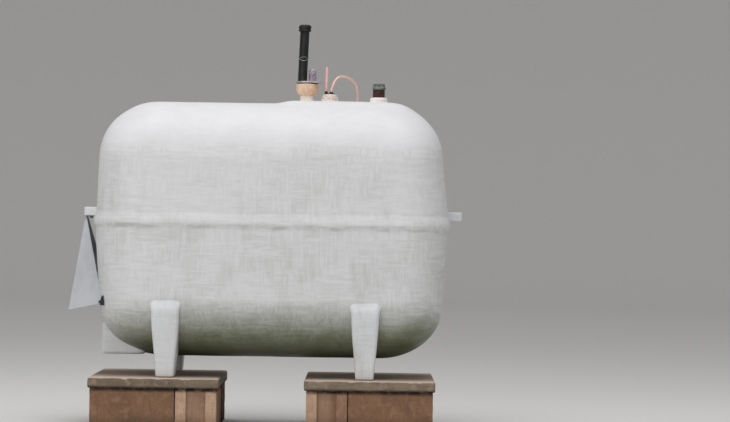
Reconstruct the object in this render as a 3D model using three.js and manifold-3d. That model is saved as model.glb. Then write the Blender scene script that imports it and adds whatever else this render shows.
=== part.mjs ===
// A domestic fibreglass heating-oil tank: a lapped two-part moulding on four legs, with its fittings,
// standing on two piers of loose concrete blocks, each under a concrete slab.
// Millimetres, +Z up. X runs along the tank, Y from its front to its back, and the ground is at Z 0.
import * as THREE from 'three';
import { mergeVertices } from 'three/addons/utils/BufferGeometryUtils.js';
import Module from 'manifold-3d';

const wasm = await Module();
wasm.setup();

// Piers
const BLOCK_LENGTH = 390;
const BLOCK_WIDTH = 190;
const BLOCK_HEIGHT = 190;
const BLOCK_JOINT = 4;
const BLOCK_SHELL = 35;
const EAR_WIDTH = 50;
const EAR_DEPTH = 15;
const SLAB_LENGTH = 606;
const SLAB_DEPTH = 762;
const SLAB_THICKNESS = 50;
const SLAB_OVERHANG = 11;
const SLAB_LEFT_X = -529;
const SLAB_RIGHT_X = 468;

// Tank moulding, about the middle of its own length and width
const SLAB_TOP = BLOCK_HEIGHT + SLAB_THICKNESS;
const TANK_BOTTOM = SLAB_TOP + 91;
const TANK_TOP = TANK_BOTTOM + 1196;
const SEAM_Z = 970;
const WALL = 6;
const SEAM_HALF = { along: 826, across: 350 };
const UPPER = {
  side: 1,
  height: TANK_TOP - SEAM_Z,
  draft: 1,
  lean: 9,
  along: { wall: 806, flat: 550, curve: 264 },
  across: { wall: 342, flat: 60, curve: 300 },
};
const LOWER = {
  side: -1,
  height: SEAM_Z - TANK_BOTTOM,
  draft: 1.6,
  lean: 0,
  along: { wall: 801, flat: 520, curve: 244 },
  across: { wall: 342, flat: 60, curve: 290 },
};
const CORNER_RADIUS = 200;
const BAND_BOTTOM = 940;
const BAND_TOP = 1003;
const BAND_FADE = 45;
const BAND_PROUD = 12;

// The crown is raised a little under the fittings: a mound that fades into the crown on three sides and
// runs out into the right shoulder
const DECK = [
  { height: -55, left: 0, right: 700, halfDepth: 160 },
  { height: -23, left: 0, right: 660, halfDepth: 160 },
  { height: -10, left: 0, right: 639, halfDepth: 140 },
  { height: 1, left: 9, right: 616, halfDepth: 120 },
  { height: 7, left: 43, right: 598, halfDepth: 107 },
  { height: 11, left: 65, right: 580, halfDepth: 93 },
  { height: 14, left: 93, right: 541, halfDepth: 62 },
];
const DECK_TOP = TANK_TOP + 14;

// Legs, lugs and sump
const LEG_LEFT_X = -481;
const LEG_RIGHT_X = 443;
const LEG_FRONT = { foot: 325, top: 362 };
const LEG_BACK = { foot: 175, top: 150 };
const LEG_HALF_WIDTH = { foot: 40, top: 65.5 };
const LEG_HEIGHT = 323;
const LEG_SHOULDER = 23;
const LUG_REACH = 893;
const LUG_HALF_WIDTH = 55;
const LUG_HEIGHT = 40;
const LUG_Z = 1005;
const SUMP_LEFT = -797;
const SUMP_RIGHT = -591;
const SUMP_HALF_WIDTH = 105;
const SUMP_BOTTOM = TANK_BOTTOM + 4;
const SUMP_TOP = 505;
const PLUG_Z = 390;

// Fittings on the crown
const VENT_X = 151;
const VENT_NECK_HEIGHT = 27;
const VENT_BELL_HEIGHT = 56;
const VENT_PLATE = { left: 96, right: 229, halfDepth: 50, thickness: 12 };
const VENT_PIPE = { x: 127, radius: 22, height: 247, lean: 0.0355 };
const VENT_CAP = { radius: 29.5, height: 32, lip: 10 };
const GAUGE = { x: 175, radius: 19, height: 61, wall: 2.5 };
const LINE_BOSS_X = 258;
const LINE_BOSS_HEIGHT = 37;
const BUSHING = { radius: 24, height: 3 };
const ROD = { x: 241, radius: 6, height: 114, nutRadius: 8, nutHeight: 10 };
const LINE = { x: 266, radius: 5.6, nutRadius: 10, nutHeight: 7 };
const UNION_LENGTH = 40;
const FILL_X = 491;
const FILL_COLLAR_HEIGHT = 23;
const FILL_PIPE = { radius: 28.5, height: 38 };
const FILL_CAP = { radius: 32.5, height: 28 };

// Hood on the left end, and the filter that it covers
const HOOD_APEX = { x: -890, halfWidth: 35 };
const HOOD_MOUTH = { x: -942, z: 542, halfWidth: 235 };
const HOOD_HEEL = { x: -781, z: 577 };
const SHEET = 3;
const HOOD_FLANGE_END = -838;
const CLIP_THICKNESS = 14;
const FILTER = { x: -868, z: 730, headRadius: 35, headHeight: 30, bowlRadius: 31, bowlHeight: 105 };

// Fits and fineness
const GAP = 0.3;
const CORNER_STEPS = 7;
const CURVE_STEPS = 8;
const ROUND_STEPS = 24;
const HEX = 6;
const QUARTER = Math.PI / 2;

const FIBREGLASS = { color: 0xcbccce, roughness: 0.45, metalness: 0 };
const CONCRETE = { color: 0x8d7d6c, roughness: 0.95, metalness: 0 };
const STAINED_BLOCK = { color: 0x7c5f4b, roughness: 0.95, metalness: 0 };
const BLACK_STEEL = { color: 0x242526, roughness: 0.6, metalness: 0.3 };
const TAN_IRON = { color: 0xc9a88c, roughness: 0.7, metalness: 0.2 };
const GREY_SHEET = { color: 0xacadb1, roughness: 0.5, metalness: 0.4 };
const COPPER = { color: 0xb07058, roughness: 0.4, metalness: 0.9 };
const CLEAR_PLASTIC = { color: 0xc9b6cf, roughness: 0.15, metalness: 0 };
const GREEN_CAP = { color: 0x24362c, roughness: 0.5, metalness: 0 };
const CAST_ALUMINIUM = { color: 0x9a9a98, roughness: 0.5, metalness: 0.8 };
const ZINC = { color: 0xa9abad, roughness: 0.4, metalness: 0.9 };

// A closed three.js geometry as a solid that can be joined and cut.
function solidOf(geometry) {
  const bare = geometry.index ? geometry : geometry.clone();
  bare.deleteAttribute('normal');
  bare.deleteAttribute('uv');
  const merged = mergeVertices(bare, 1e-3);
  return new wasm.Manifold(
    new wasm.Mesh({
      numProp: 3,
      vertProperties: new Float32Array(merged.getAttribute('position').array),
      triVerts: new Uint32Array(merged.index.array),
    }),
  );
}

function geometryOf(solid) {
  const { vertProperties, triVerts } = solid.getMesh();
  const geometry = new THREE.BufferGeometry();
  geometry.setAttribute('position', new THREE.BufferAttribute(vertProperties, 3));
  geometry.setIndex(new THREE.BufferAttribute(triVerts, 1));
  geometry.computeVertexNormals();
  return geometry;
}

function piece(name, shape, finish) {
  const geometry = shape.isBufferGeometry ? shape : geometryOf(shape);
  const mesh = new THREE.Mesh(geometry, new THREE.MeshStandardMaterial(finish));
  mesh.name = name;
  return mesh;
}

// A solid through level stations, each a rounded rectangle {z, x, y, a, b, r}: its height, its centre,
// its half-sizes along X and Y, and its corner radius.
function loft(stations, cornerSteps = CORNER_STEPS) {
  const around = 4 * (cornerSteps + 1);
  const levels = stations.length - 1;
  const geometry = new THREE.CylinderGeometry(1, 1, levels, around, levels);
  const position = geometry.getAttribute('position');
  for (let i = 0; i < position.count; i++) {
    const across = position.getX(i);
    const along = position.getZ(i);
    const station = stations[Math.round(position.getY(i) + levels / 2)];
    const { z, x = 0, y = 0, a, b, r } = station;
    if (Math.hypot(across, along) < 0.5) {
      position.setXYZ(i, x, y, z);
      continue;
    }
    const turn = (Math.atan2(across, along) / (2 * Math.PI) + 1) % 1;
    const step = Math.round(turn * around) % around;
    const corner = Math.floor(step / (cornerSteps + 1));
    const angle = (corner + (step % (cornerSteps + 1)) / cornerSteps) * QUARTER;
    const signX = corner === 0 || corner === 3 ? 1 : -1;
    const signY = corner < 2 ? 1 : -1;
    position.setXYZ(
      i,
      x + signX * (a - r) + r * Math.cos(angle),
      y + signY * (b - r) + r * Math.sin(angle),
      z,
    );
  }
  return geometry;
}

// A solid of revolution about a vertical axis, from [radius, height] points listed upwards.
function turned(profile, steps = ROUND_STEPS) {
  const points = profile.map(([radius, height]) => new THREE.Vector2(radius, height));
  return new THREE.LatheGeometry(points, steps).rotateX(QUARTER);
}

// A flat polygon of [x, z] points, thickened along Y and centred on Y 0.
function extrudedAcross(points, depth) {
  const outline = new THREE.Shape(points.map(([x, z]) => new THREE.Vector2(x, z)));
  const geometry = new THREE.ExtrudeGeometry(outline, { depth, bevelEnabled: false });
  return geometry.rotateX(QUARTER).translate(0, depth / 2, 0);
}

function box(left, right, front, back, bottom, top) {
  const geometry = new THREE.BoxGeometry(right - left, back - front, top - bottom);
  return geometry.translate((left + right) / 2, (front + back) / 2, (bottom + top) / 2);
}

// Half of the tank's size, along or across, at a rise above or below the seam:
// a wall that draws in a little, then a quarter of an ellipse that ends at the flat crown or keel.
function halfSpan(half, way, rise) {
  const { wall, flat, curve } = half[way];
  const straight = half.height - curve;
  if (rise < straight) {
    return SEAM_HALF[way] - (SEAM_HALF[way] - wall) * (rise / straight) ** half.draft;
  }
  const climb = (rise - straight) / curve;
  return flat + (wall - flat) * Math.sqrt(Math.max(0, 1 - climb * climb));
}

// The upper half leans a little to the left: its sections shift along an S-shaped step up to the curve.
function leanShift(half, rise) {
  const share = Math.min(1, rise / (half.height - half.along.curve));
  return -half.lean * share * share * (3 - 2 * share);
}

function tankStation(half, rise, angle, offset) {
  const a = halfSpan(half, 'along', rise) + offset * Math.cos(angle);
  const b = halfSpan(half, 'across', rise) + offset * Math.cos(angle);
  const z = SEAM_Z + half.side * (rise + offset * Math.sin(angle));
  return { z, x: leanShift(half, rise), a, b, r: Math.min(CORNER_RADIUS, b - 3) };
}

function curveStations(half, offset) {
  const stations = [];
  for (let step = 0; step <= CURVE_STEPS; step++) {
    const angle = (QUARTER * step) / CURVE_STEPS;
    const { curve } = half.across;
    const rise = half.height - curve + curve * Math.sin(angle);
    stations.push(tankStation(half, rise, angle, offset));
  }
  return stations;
}

// The whole tank body, grown or shrunk by an offset.
function tankBody(offset) {
  const stations = [
    ...curveStations(LOWER, offset).reverse(),
    tankStation(UPPER, 0, 0, offset),
    ...curveStations(UPPER, offset),
  ];
  return solidOf(loft(stations));
}

function deck(offset) {
  const stations = DECK.map(({ height, left, right, halfDepth }) => ({
    z: TANK_TOP + height + offset,
    x: (left + right) / 2,
    a: (right - left) / 2 + offset,
    b: halfDepth + offset,
    r: halfDepth - 5,
  }));
  return solidOf(loft(stations));
}

const body = tankBody(0).add(deck(0));
const bodyClear = tankBody(GAP).add(deck(GAP));

function makeShells() {
  const hollow = body.subtract(tankBody(-WALL));
  const reach = 2 * SEAM_HALF.along;
  const above = solidOf(box(-reach, reach, -reach, reach, SEAM_Z, 2 * TANK_TOP));
  return [
    piece('lower_shell', hollow.subtract(above), FIBREGLASS),
    piece('upper_shell', hollow.intersect(above), FIBREGLASS),
  ];
}

// The lap of the upper half over the lower: a square lower edge, and a top that fades into the wall.
function seamBand() {
  const edge = (z, proud) => {
    const half = z > SEAM_Z ? UPPER : LOWER;
    return { ...tankStation(half, Math.abs(z - SEAM_Z), 0, proud), z };
  };
  const stations = [
    edge(BAND_BOTTOM, BAND_PROUD),
    edge(SEAM_Z, BAND_PROUD),
    edge(BAND_TOP, BAND_PROUD),
    edge(BAND_TOP + BAND_FADE / 2, BAND_PROUD / 2),
    edge(BAND_TOP + BAND_FADE, 1),
  ];
  return solidOf(loft(stations)).subtract(bodyClear);
}

const band = seamBand();

// A leg widens upwards, and ends in a short sloped shoulder against the belly.
function makeLeg(name, x, side) {
  const station = (z, halfWidth, front, back) => ({
    z,
    x,
    y: (side * (front + back)) / 2,
    a: halfWidth,
    b: (front - back) / 2,
    r: halfWidth / 3,
  });
  const top = SLAB_TOP + LEG_HEIGHT;
  const stations = [
    station(SLAB_TOP, LEG_HALF_WIDTH.foot, LEG_FRONT.foot, LEG_BACK.foot),
    station(top, LEG_HALF_WIDTH.top, LEG_FRONT.top, LEG_BACK.top),
    station(top + LEG_SHOULDER, LEG_HALF_WIDTH.top - 8, LEG_FRONT.top - 20, LEG_BACK.top),
  ];
  return piece(name, solidOf(loft(stations, 4)).subtract(bodyClear), FIBREGLASS);
}

function makeLug(name, side, z) {
  const inner = SEAM_HALF.along - 20;
  const station = (height, reach) => ({
    z: z + height,
    x: (side * (inner + reach)) / 2,
    a: (reach - inner) / 2,
    b: LUG_HALF_WIDTH,
    r: 14,
  });
  const block = loft([station(-LUG_HEIGHT / 2, LUG_REACH), station(LUG_HEIGHT / 2, LUG_REACH - 4)], 3);
  const bandClear = solidOf(
    loft([
      { ...tankStation(UPPER, 0, 0, BAND_PROUD + GAP), z: BAND_BOTTOM },
      { ...tankStation(UPPER, 0, 0, BAND_PROUD + GAP), z: BAND_TOP + 1 },
      { ...tankStation(UPPER, BAND_TOP - SEAM_Z, 0, BAND_PROUD + GAP), z: BAND_TOP + 2 },
      { ...tankStation(UPPER, BAND_TOP + BAND_FADE - SEAM_Z, 0, 1 + GAP), z: BAND_TOP + BAND_FADE + 3 },
    ]),
  );
  return piece(name, solidOf(block).subtract(bandClear).subtract(bodyClear), FIBREGLASS);
}

function makeSump() {
  const station = (z, left, inset) => ({
    z,
    x: (left + SUMP_RIGHT) / 2,
    a: (SUMP_RIGHT - left) / 2 - inset,
    b: SUMP_HALF_WIDTH - inset,
    r: 22,
  });
  const stations = [
    station(SUMP_BOTTOM, SUMP_LEFT, 14),
    station(SUMP_BOTTOM + 5, SUMP_LEFT, 4),
    station(SUMP_BOTTOM + 16, SUMP_LEFT, 0),
    station(SUMP_TOP - 20, SUMP_LEFT, 0),
    station(SUMP_TOP, SUMP_LEFT + 16, 0),
  ];
  const sump = piece('outlet_sump', solidOf(loft(stations, 4)).subtract(bodyClear), FIBREGLASS);
  const head = new THREE.CylinderGeometry(14, 14, 14, HEX).rotateZ(QUARTER);
  const plug = piece('outlet_plug', head, FIBREGLASS);
  plug.position.set(SUMP_LEFT - 7 - GAP, 0, PLUG_Z);
  return [sump, plug];
}

// A hollow concrete block lies along X about its own middle, with ears and a recess at each end.
function blockGeometry() {
  const halfLength = BLOCK_LENGTH / 2;
  const halfWidth = BLOCK_WIDTH / 2;
  const notch = halfWidth - EAR_WIDTH;
  const backSide = [
    [halfLength - EAR_DEPTH, notch],
    [halfLength, notch],
    [halfLength, halfWidth],
    [-halfLength, halfWidth],
    [-halfLength, notch],
    [EAR_DEPTH - halfLength, notch],
  ];
  const points = [...backSide, ...backSide.map(([x, y]) => [-x, -y])];
  const outline = new THREE.Shape(points.map(([x, y]) => new THREE.Vector2(x, y)));
  const depth = BLOCK_HEIGHT;
  let block = solidOf(new THREE.ExtrudeGeometry(outline, { depth, bevelEnabled: false }));
  const coreEnd = halfLength - EAR_DEPTH - BLOCK_SHELL;
  const coreSide = halfWidth - BLOCK_SHELL;
  const web = BLOCK_SHELL / 2;
  for (const [left, right] of [[-coreEnd, -web], [web, coreEnd]]) {
    block = block.subtract(solidOf(box(left, right, -coreSide, coreSide, -web, depth + web)));
  }
  return geometryOf(block);
}

// Four blocks in a loose pinwheel: on the front face one shows its side and one its end.
function makePier(name, x, endOnSide) {
  const pier = new THREE.Group();
  pier.position.x = x;
  const slab = piece('slab_' + name, box(
    -SLAB_LENGTH / 2, SLAB_LENGTH / 2, -SLAB_DEPTH / 2, SLAB_DEPTH / 2, BLOCK_HEIGHT, SLAB_TOP,
  ), CONCRETE);
  pier.add(slab);
  const pairWidth = BLOCK_LENGTH + BLOCK_JOINT + BLOCK_WIDTH;
  const front = SLAB_OVERHANG - SLAB_DEPTH / 2;
  for (const [row, turn] of [['front', 0], ['rear', Math.PI]]) {
    const pair = new THREE.Group();
    pair.rotation.z = turn;
    const along = piece(`block_${name}_${row}_along`, blockGeometry(), STAINED_BLOCK);
    along.position.set((-endOnSide * (pairWidth - BLOCK_LENGTH)) / 2, front + BLOCK_WIDTH / 2, 0);
    const across = piece(`block_${name}_${row}_across`, blockGeometry(), STAINED_BLOCK);
    across.rotation.z = QUARTER;
    across.position.set((endOnSide * (pairWidth - BLOCK_WIDTH)) / 2, front + BLOCK_LENGTH / 2, 0);
    pair.add(along, across);
    pier.add(pair);
  }
  return pier;
}

// A moulded boss stands on the crown's deck, so its underside follows the body.
function deckBoss(x, profile) {
  const solid = solidOf(turned([[0, -20], [profile[0][0], -20], ...profile])).translate([x, 0, DECK_TOP]);
  return solid.subtract(bodyClear);
}

function makeVent() {
  const neckTop = DECK_TOP + VENT_NECK_HEIGHT;
  const bellTop = neckTop + VENT_BELL_HEIGHT;
  const plateTop = bellTop + VENT_PLATE.thickness;
  const neckProfile = [[42, 4], [34, 9], [31, VENT_NECK_HEIGHT], [0, VENT_NECK_HEIGHT]];
  const neck = piece('vent_neck', deckBoss(VENT_X, neckProfile), FIBREGLASS);

  const bellProfile = [
    [0, 0],
    [28.5, 0],
    [35, 5],
    [43, 14],
    [49, 24],
    [51.5, 34],
    [51.5, VENT_BELL_HEIGHT],
    [0, VENT_BELL_HEIGHT],
  ];
  const bell = piece('vent_bell', turned(bellProfile), TAN_IRON);
  bell.position.set(VENT_X, 0, neckTop);

  const plateHalf = (VENT_PLATE.right - VENT_PLATE.left) / 2;
  const plateShape = { a: plateHalf, b: VENT_PLATE.halfDepth, r: VENT_PLATE.halfDepth - 2 };
  const plate = piece('vent_plate', loft([
    { z: 0, ...plateShape },
    { z: VENT_PLATE.thickness, ...plateShape },
  ], 5), GREY_SHEET);
  plate.position.set(VENT_PLATE.left + plateHalf, 0, bellTop);

  // The pipe leans, and its foot stays flat on the plate.
  const lean = new THREE.Matrix4().makeShear(0, 0, 0, 0, VENT_PIPE.lean, 0);
  const { radius, height } = VENT_PIPE;
  const pipeProfile = [[0, 0], [radius, 0], [radius, height], [0, height]];
  const pipe = piece('vent_pipe', turned(pipeProfile).applyMatrix4(lean), BLACK_STEEL);
  pipe.position.set(VENT_PIPE.x, 0, plateTop);

  const mouth = height - VENT_CAP.lip;
  const capProfile = [
    [radius + GAP, height + GAP],
    [radius + GAP, mouth],
    [VENT_CAP.radius, mouth],
    [VENT_CAP.radius, mouth + VENT_CAP.height - 6],
    [VENT_CAP.radius - 6, mouth + VENT_CAP.height],
    [0, mouth + VENT_CAP.height],
  ];
  const cap = piece('vent_cap', turned([[0, height + GAP], ...capProfile]).applyMatrix4(lean), BLACK_STEEL);
  cap.position.copy(pipe.position);
  return [neck, bell, plate, pipe, cap, ...makeGauge(plateTop)];
}

// The float gauge: a clear vial over a disc on a stem.
function makeGauge(base) {
  const { radius, height, wall } = GAUGE;
  const vialProfile = [
    [radius - wall, 0],
    [radius, 0],
    [radius, height - 8],
    [radius - 8, height],
    [0, height],
  ];
  const inside = [[0, height - wall], [radius - 9, height - wall], [radius - wall, height - 9]];
  const vial = piece('gauge_vial', turned([...inside, ...vialProfile]), CLEAR_PLASTIC);
  vial.position.set(GAUGE.x, 0, base);
  const floatProfile = [[0, 0], [3, 0], [3, 28], [12, 28], [12, 36], [0, 36]];
  const float = piece('gauge_float', turned(floatProfile, 16), TAN_IRON);
  float.position.set(GAUGE.x, 0, base);
  return [vial, float];
}

// The burner line leaves by a bushing in its own boss, arches over, and drops behind the back shoulder.
function makeLine() {
  const bossTop = DECK_TOP + LINE_BOSS_HEIGHT;
  const bossProfile = [[45, 3], [42, 8], [42, 28], [29, LINE_BOSS_HEIGHT], [0, LINE_BOSS_HEIGHT]];
  const boss = piece('line_boss', deckBoss(LINE_BOSS_X, bossProfile), FIBREGLASS);

  const nut = ({ x, nutRadius, nutHeight }) => {
    const top = BUSHING.height + nutHeight;
    const hexagon = new THREE.CylinderGeometry(nutRadius, nutRadius, top, HEX);
    return solidOf(hexagon.rotateX(QUARTER).translate(x - LINE_BOSS_X, 0, top / 2));
  };
  const { radius, height } = BUSHING;
  const disc = turned([[0, 0], [radius, 0], [radius, height], [0, height]]);
  const bushing = piece('line_bushing', solidOf(disc).add(nut(ROD)).add(nut(LINE)), BLACK_STEEL);
  bushing.position.set(LINE_BOSS_X, 0, bossTop);

  const rodProfile = [[0, 0], [ROD.radius, 0], [ROD.radius, ROD.height], [0, ROD.height]];
  const rod = piece('gauge_rod', turned(rodProfile, 12), TAN_IRON);
  rod.position.set(ROD.x, 0, bossTop + BUSHING.height + ROD.nutHeight);

  const start = bossTop + BUSHING.height + LINE.nutHeight + 2 * GAP;
  const route = [
    [LINE.x, 0, start],
    [LINE.x, 0, start + 6],
    [275, 2, 1618],
    [288, 12, 1647],
    [305, 30, 1664],
    [325, 52, 1670],
    [346, 75, 1664],
    [366, 98, 1652],
    [380, 118, 1636],
    [388, 145, 1610],
    [390, 200, 1545],
    [390, 250, 1480],
    [390, 300, 1418],
    [390, 342, 1352],
    [390, 358, 1298],
    [390, 360, 1268],
  ].map(([x, y, z]) => new THREE.Vector3(x, y, z));
  const tube = new THREE.ExtrudeGeometry(
    new THREE.Shape().absarc(0, 0, LINE.radius, 0, 2 * Math.PI),
    { steps: 44, curveSegments: 5, extrudePath: new THREE.CatmullRomCurve3(route) },
  );
  const line = piece('supply_line', tube, COPPER);

  const unionTop = -2 * GAP;
  const unionProfile = [[0, -UNION_LENGTH], [11, -UNION_LENGTH], [11, unionTop], [0, unionTop]];
  const union = piece('line_union', turned(unionProfile, HEX), TAN_IRON);
  union.position.copy(route.at(-1));
  return [boss, bushing, rod, line, union];
}

function makeFill() {
  const collarProfile = [[41.5, 0], [41.5, 14], [36, FILL_COLLAR_HEIGHT], [0, FILL_COLLAR_HEIGHT]];
  const collar = piece('fill_collar', deckBoss(FILL_X, collarProfile), FIBREGLASS);
  const { radius, height } = FILL_PIPE;
  const pipeProfile = [[0, 0], [radius, 0], [radius, height], [0, height]];
  const pipe = piece('fill_pipe', turned(pipeProfile), BLACK_STEEL);
  pipe.position.set(FILL_X, 0, DECK_TOP + FILL_COLLAR_HEIGHT);
  const capProfile = [
    [0, 0],
    [FILL_CAP.radius, 0],
    [FILL_CAP.radius, 9],
    [FILL_CAP.radius - 4, 13],
    [FILL_CAP.radius - 4, FILL_CAP.height - 4],
    [FILL_CAP.radius - 8, FILL_CAP.height],
    [0, FILL_CAP.height],
  ];
  const cap = piece('fill_cap', turned(capProfile), GREEN_CAP);
  cap.position.set(FILL_X, 0, DECK_TOP + FILL_COLLAR_HEIGHT + height);
  return [collar, pipe, cap];
}

// The end wall's X at a height, clear of the wall by a gap.
function endWallX(z, gap) {
  const half = z > SEAM_Z ? UPPER : LOWER;
  return -(halfSpan(half, 'along', Math.abs(z - SEAM_Z)) + gap);
}

// The hood is one folded sheet that widens downwards: a sloped face, two cheeks, and a flange bolted
// under the left lug. Each cheek lies in one plane through the apex, the mouth and the heel.
const HOOD_TOP = LUG_Z - LUG_HEIGHT / 2 - GAP;
const CHEEK_PLANE = new THREE.Plane().setFromCoplanarPoints(
  new THREE.Vector3(HOOD_APEX.x, HOOD_APEX.halfWidth, HOOD_TOP),
  new THREE.Vector3(HOOD_MOUTH.x, HOOD_MOUTH.halfWidth, HOOD_MOUTH.z),
  new THREE.Vector3(HOOD_HEEL.x, HOOD_MOUTH.halfWidth, HOOD_HEEL.z),
);

// Half the hood's width at a point of its side view, inside the sheet by an inset.
function cheekHalfWidth(x, z, inset) {
  const { normal, constant } = CHEEK_PLANE;
  return -(normal.x * x + normal.z * z + constant) / normal.y - inset / Math.abs(normal.y);
}

// A side view of [x, z] points, as wide at each point as the cheeks are apart there.
function betweenCheeks(points, inset) {
  const geometry = extrudedAcross(points, 2);
  const position = geometry.getAttribute('position');
  for (let i = 0; i < position.count; i++) {
    const half = cheekHalfWidth(position.getX(i), position.getZ(i), inset);
    position.setY(i, Math.sign(position.getY(i)) * half);
  }
  return solidOf(geometry);
}

function makeHood() {
  const outer = [
    [HOOD_APEX.x, HOOD_TOP],
    [HOOD_MOUTH.x, HOOD_MOUTH.z],
    [HOOD_HEEL.x, HOOD_HEEL.z],
    [HOOD_APEX.x + 12, HOOD_TOP],
  ];
  const slope = (HOOD_MOUTH.x - HOOD_APEX.x) / (HOOD_MOUTH.z - HOOD_TOP);
  const below = HOOD_MOUTH.z - 60;
  const inner = [
    [HOOD_APEX.x + SHEET, HOOD_TOP - SHEET],
    [HOOD_APEX.x + SHEET + slope * (below - HOOD_TOP + SHEET), below],
    [0, below],
    [0, HOOD_TOP - SHEET],
  ];
  const shell = betweenCheeks(outer, 0).subtract(betweenCheeks(inner, SHEET));
  const flange = solidOf(
    box(HOOD_APEX.x, HOOD_FLANGE_END, -HOOD_APEX.halfWidth, HOOD_APEX.halfWidth, HOOD_TOP - SHEET, HOOD_TOP),
  );
  const hood = piece('filter_hood', shell.add(flange).subtract(tankBody(2 * GAP)), GREY_SHEET);
  const pieces = [hood];
  for (const [name, side] of [['front', -1], ['rear', 1]]) {
    const head = new THREE.CylinderGeometry(8, 8, 7, HEX).rotateX(QUARTER);
    const bolt = piece('hood_bolt_' + name, head, ZINC);
    bolt.position.set(-864, side * 20, HOOD_TOP - SHEET - 3.5);
    pieces.push(bolt, makeClip('hood_clip_' + name, side));
  }
  return pieces;
}

// A clip lies on the tank's corner, and its barb keeps a cheek's heel in place.
function makeClip(name, side) {
  const outline = [[-783, 613], [-779, 588], [-774, 567], [-794, 567], [-803, 581], [-792, 586], [-788, 598]];
  const shape = extrudedAcross(outline, CLIP_THICKNESS);
  shape.translate(0, side * (HOOD_MOUTH.halfWidth + GAP + CLIP_THICKNESS / 2), 0);
  return piece(name, solidOf(shape).subtract(bodyClear), BLACK_STEEL);
}

// The canister filter: a bracket on the end wall, a head with a port at each side, and a bowl.
function makeFilter() {
  const { x, z, headRadius, headHeight, bowlRadius, bowlHeight } = FILTER;
  const arm = solidOf(box(x + headRadius + GAP, -790, -15, 15, z - 10, z + 10));
  const backing = solidOf(box(endWallX(z, WALL), -790, -40, 40, z - 45, z + 45));
  const bracket = piece('filter_bracket', arm.add(backing).subtract(bodyClear), ZINC);

  const half = headHeight / 2;
  const headProfile = [
    [0, -half],
    [headRadius, -half],
    [headRadius, half - 6],
    [headRadius - 6, half],
    [0, half],
  ];
  const ports = new THREE.CylinderGeometry(11, 11, 110, HEX);
  const head = piece('filter_head', solidOf(turned(headProfile)).add(solidOf(ports)), CAST_ALUMINIUM);
  head.position.set(x, 0, z);

  const bowlProfile = [
    [0, -bowlHeight],
    [bowlRadius - 9, -bowlHeight],
    [bowlRadius, 9 - bowlHeight],
    [bowlRadius, 0],
    [0, 0],
  ];
  const bowl = piece('filter_bowl', turned(bowlProfile), BLACK_STEEL);
  bowl.position.set(x, 0, z - half);
  return [bracket, head, bowl];
}

const tank = new THREE.Group();
tank.add(...makeShells(), piece('seam_band', band, FIBREGLASS));
for (const [row, side] of [['front', -1], ['rear', 1]]) {
  tank.add(makeLeg(`leg_${row}_left`, LEG_LEFT_X, side));
  tank.add(makeLeg(`leg_${row}_right`, LEG_RIGHT_X, side));
}
tank.add(makeLug('lug_left', -1, LUG_Z), makeLug('lug_right', 1, LUG_Z));
tank.add(...makeSump(), ...makeVent(), ...makeLine(), ...makeFill(), ...makeHood(), ...makeFilter());

// The origin lies on the ground under the middle of the whole object.
const group = new THREE.Group();
group.position.x = -(HOOD_MOUTH.x + LUG_REACH) / 2;
group.add(tank, makePier('left', SLAB_LEFT_X, 1), makePier('right', SLAB_RIGHT_X, -1));

export default group;
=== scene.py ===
# %% [markdown]
# # A fibreglass heating-oil tank on two block piers
# The real tank is two white mouldings that lap at mid height. It stands on four moulded legs, and the
# legs stand on concrete slabs over loose hollow blocks. The crown carries a vent, a float gauge, the
# burner line and the fill, and the left end a sheet hood over the filter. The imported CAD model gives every
# place and size. This lesson makes each piece again as a fine surface, and gives it its real finish.

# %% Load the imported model
import math

import bpy
import numpy as np
from mathutils import Matrix, Vector


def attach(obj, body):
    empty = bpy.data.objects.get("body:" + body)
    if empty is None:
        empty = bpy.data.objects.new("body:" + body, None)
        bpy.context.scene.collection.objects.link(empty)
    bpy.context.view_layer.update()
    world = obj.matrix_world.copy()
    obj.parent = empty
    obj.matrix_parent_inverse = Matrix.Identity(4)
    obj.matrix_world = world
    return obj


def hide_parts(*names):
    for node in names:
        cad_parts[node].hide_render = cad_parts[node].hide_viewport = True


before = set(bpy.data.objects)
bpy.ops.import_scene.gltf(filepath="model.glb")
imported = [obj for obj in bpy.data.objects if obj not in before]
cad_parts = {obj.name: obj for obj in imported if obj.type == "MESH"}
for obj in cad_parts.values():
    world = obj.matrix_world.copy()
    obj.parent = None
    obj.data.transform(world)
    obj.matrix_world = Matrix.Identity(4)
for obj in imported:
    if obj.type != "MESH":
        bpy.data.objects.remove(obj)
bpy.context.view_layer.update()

# %% [markdown]
# ## Camera
# The photograph was taken square to the tank's front, from about 12 m away with a long lens. A camera that
# is only turned, and not shifted, keeps its framing in every other view too. The picture also leans by
# about one degree, so the camera rolls by as much, and the tank itself stays level.

# %% Camera
SENSOR_MM = 36
IMAGE_WIDTH = 730
FOCAL_PIXELS = 2587
HORIZON_DROP = 16
LEAN_DEGREES = 0.9
CAMERA_PLACE = (0.4585, -12.281, 0.950)
camera_data = bpy.data.cameras.new("camera")
camera_data.sensor_width = SENSOR_MM
camera_data.lens = SENSOR_MM * FOCAL_PIXELS / IMAGE_WIDTH
camera = bpy.data.objects.new("camera", camera_data)
upright = Matrix.Rotation(math.radians(90) + math.atan(HORIZON_DROP / FOCAL_PIXELS), 4, "X")
roll = Matrix.Rotation(math.radians(LEAN_DEGREES), 4, "Z")
camera.matrix_world = Matrix.Translation(CAMERA_PLACE) @ upright @ roll
bpy.context.scene.collection.objects.link(camera)
bpy.context.scene.camera = camera
print("lens:", round(camera_data.lens, 1), "mm")

# %% [markdown]
# ## Skins of points
# Almost every piece here is one skin: a grid of points, worked out as whole arrays, whose rings close on
# themselves. A box modeller's tools could make the same shapes, but a formula keeps each size and can be
# read. All sizes are in millimetres about the middle of the tank, and one shift puts them in place.

# %% Close a grid into a skin
MM = 0.001
TANK_MIDDLE = 24.5  # the hood reaches further than the right lug, so the tank's middle is off the origin


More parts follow.
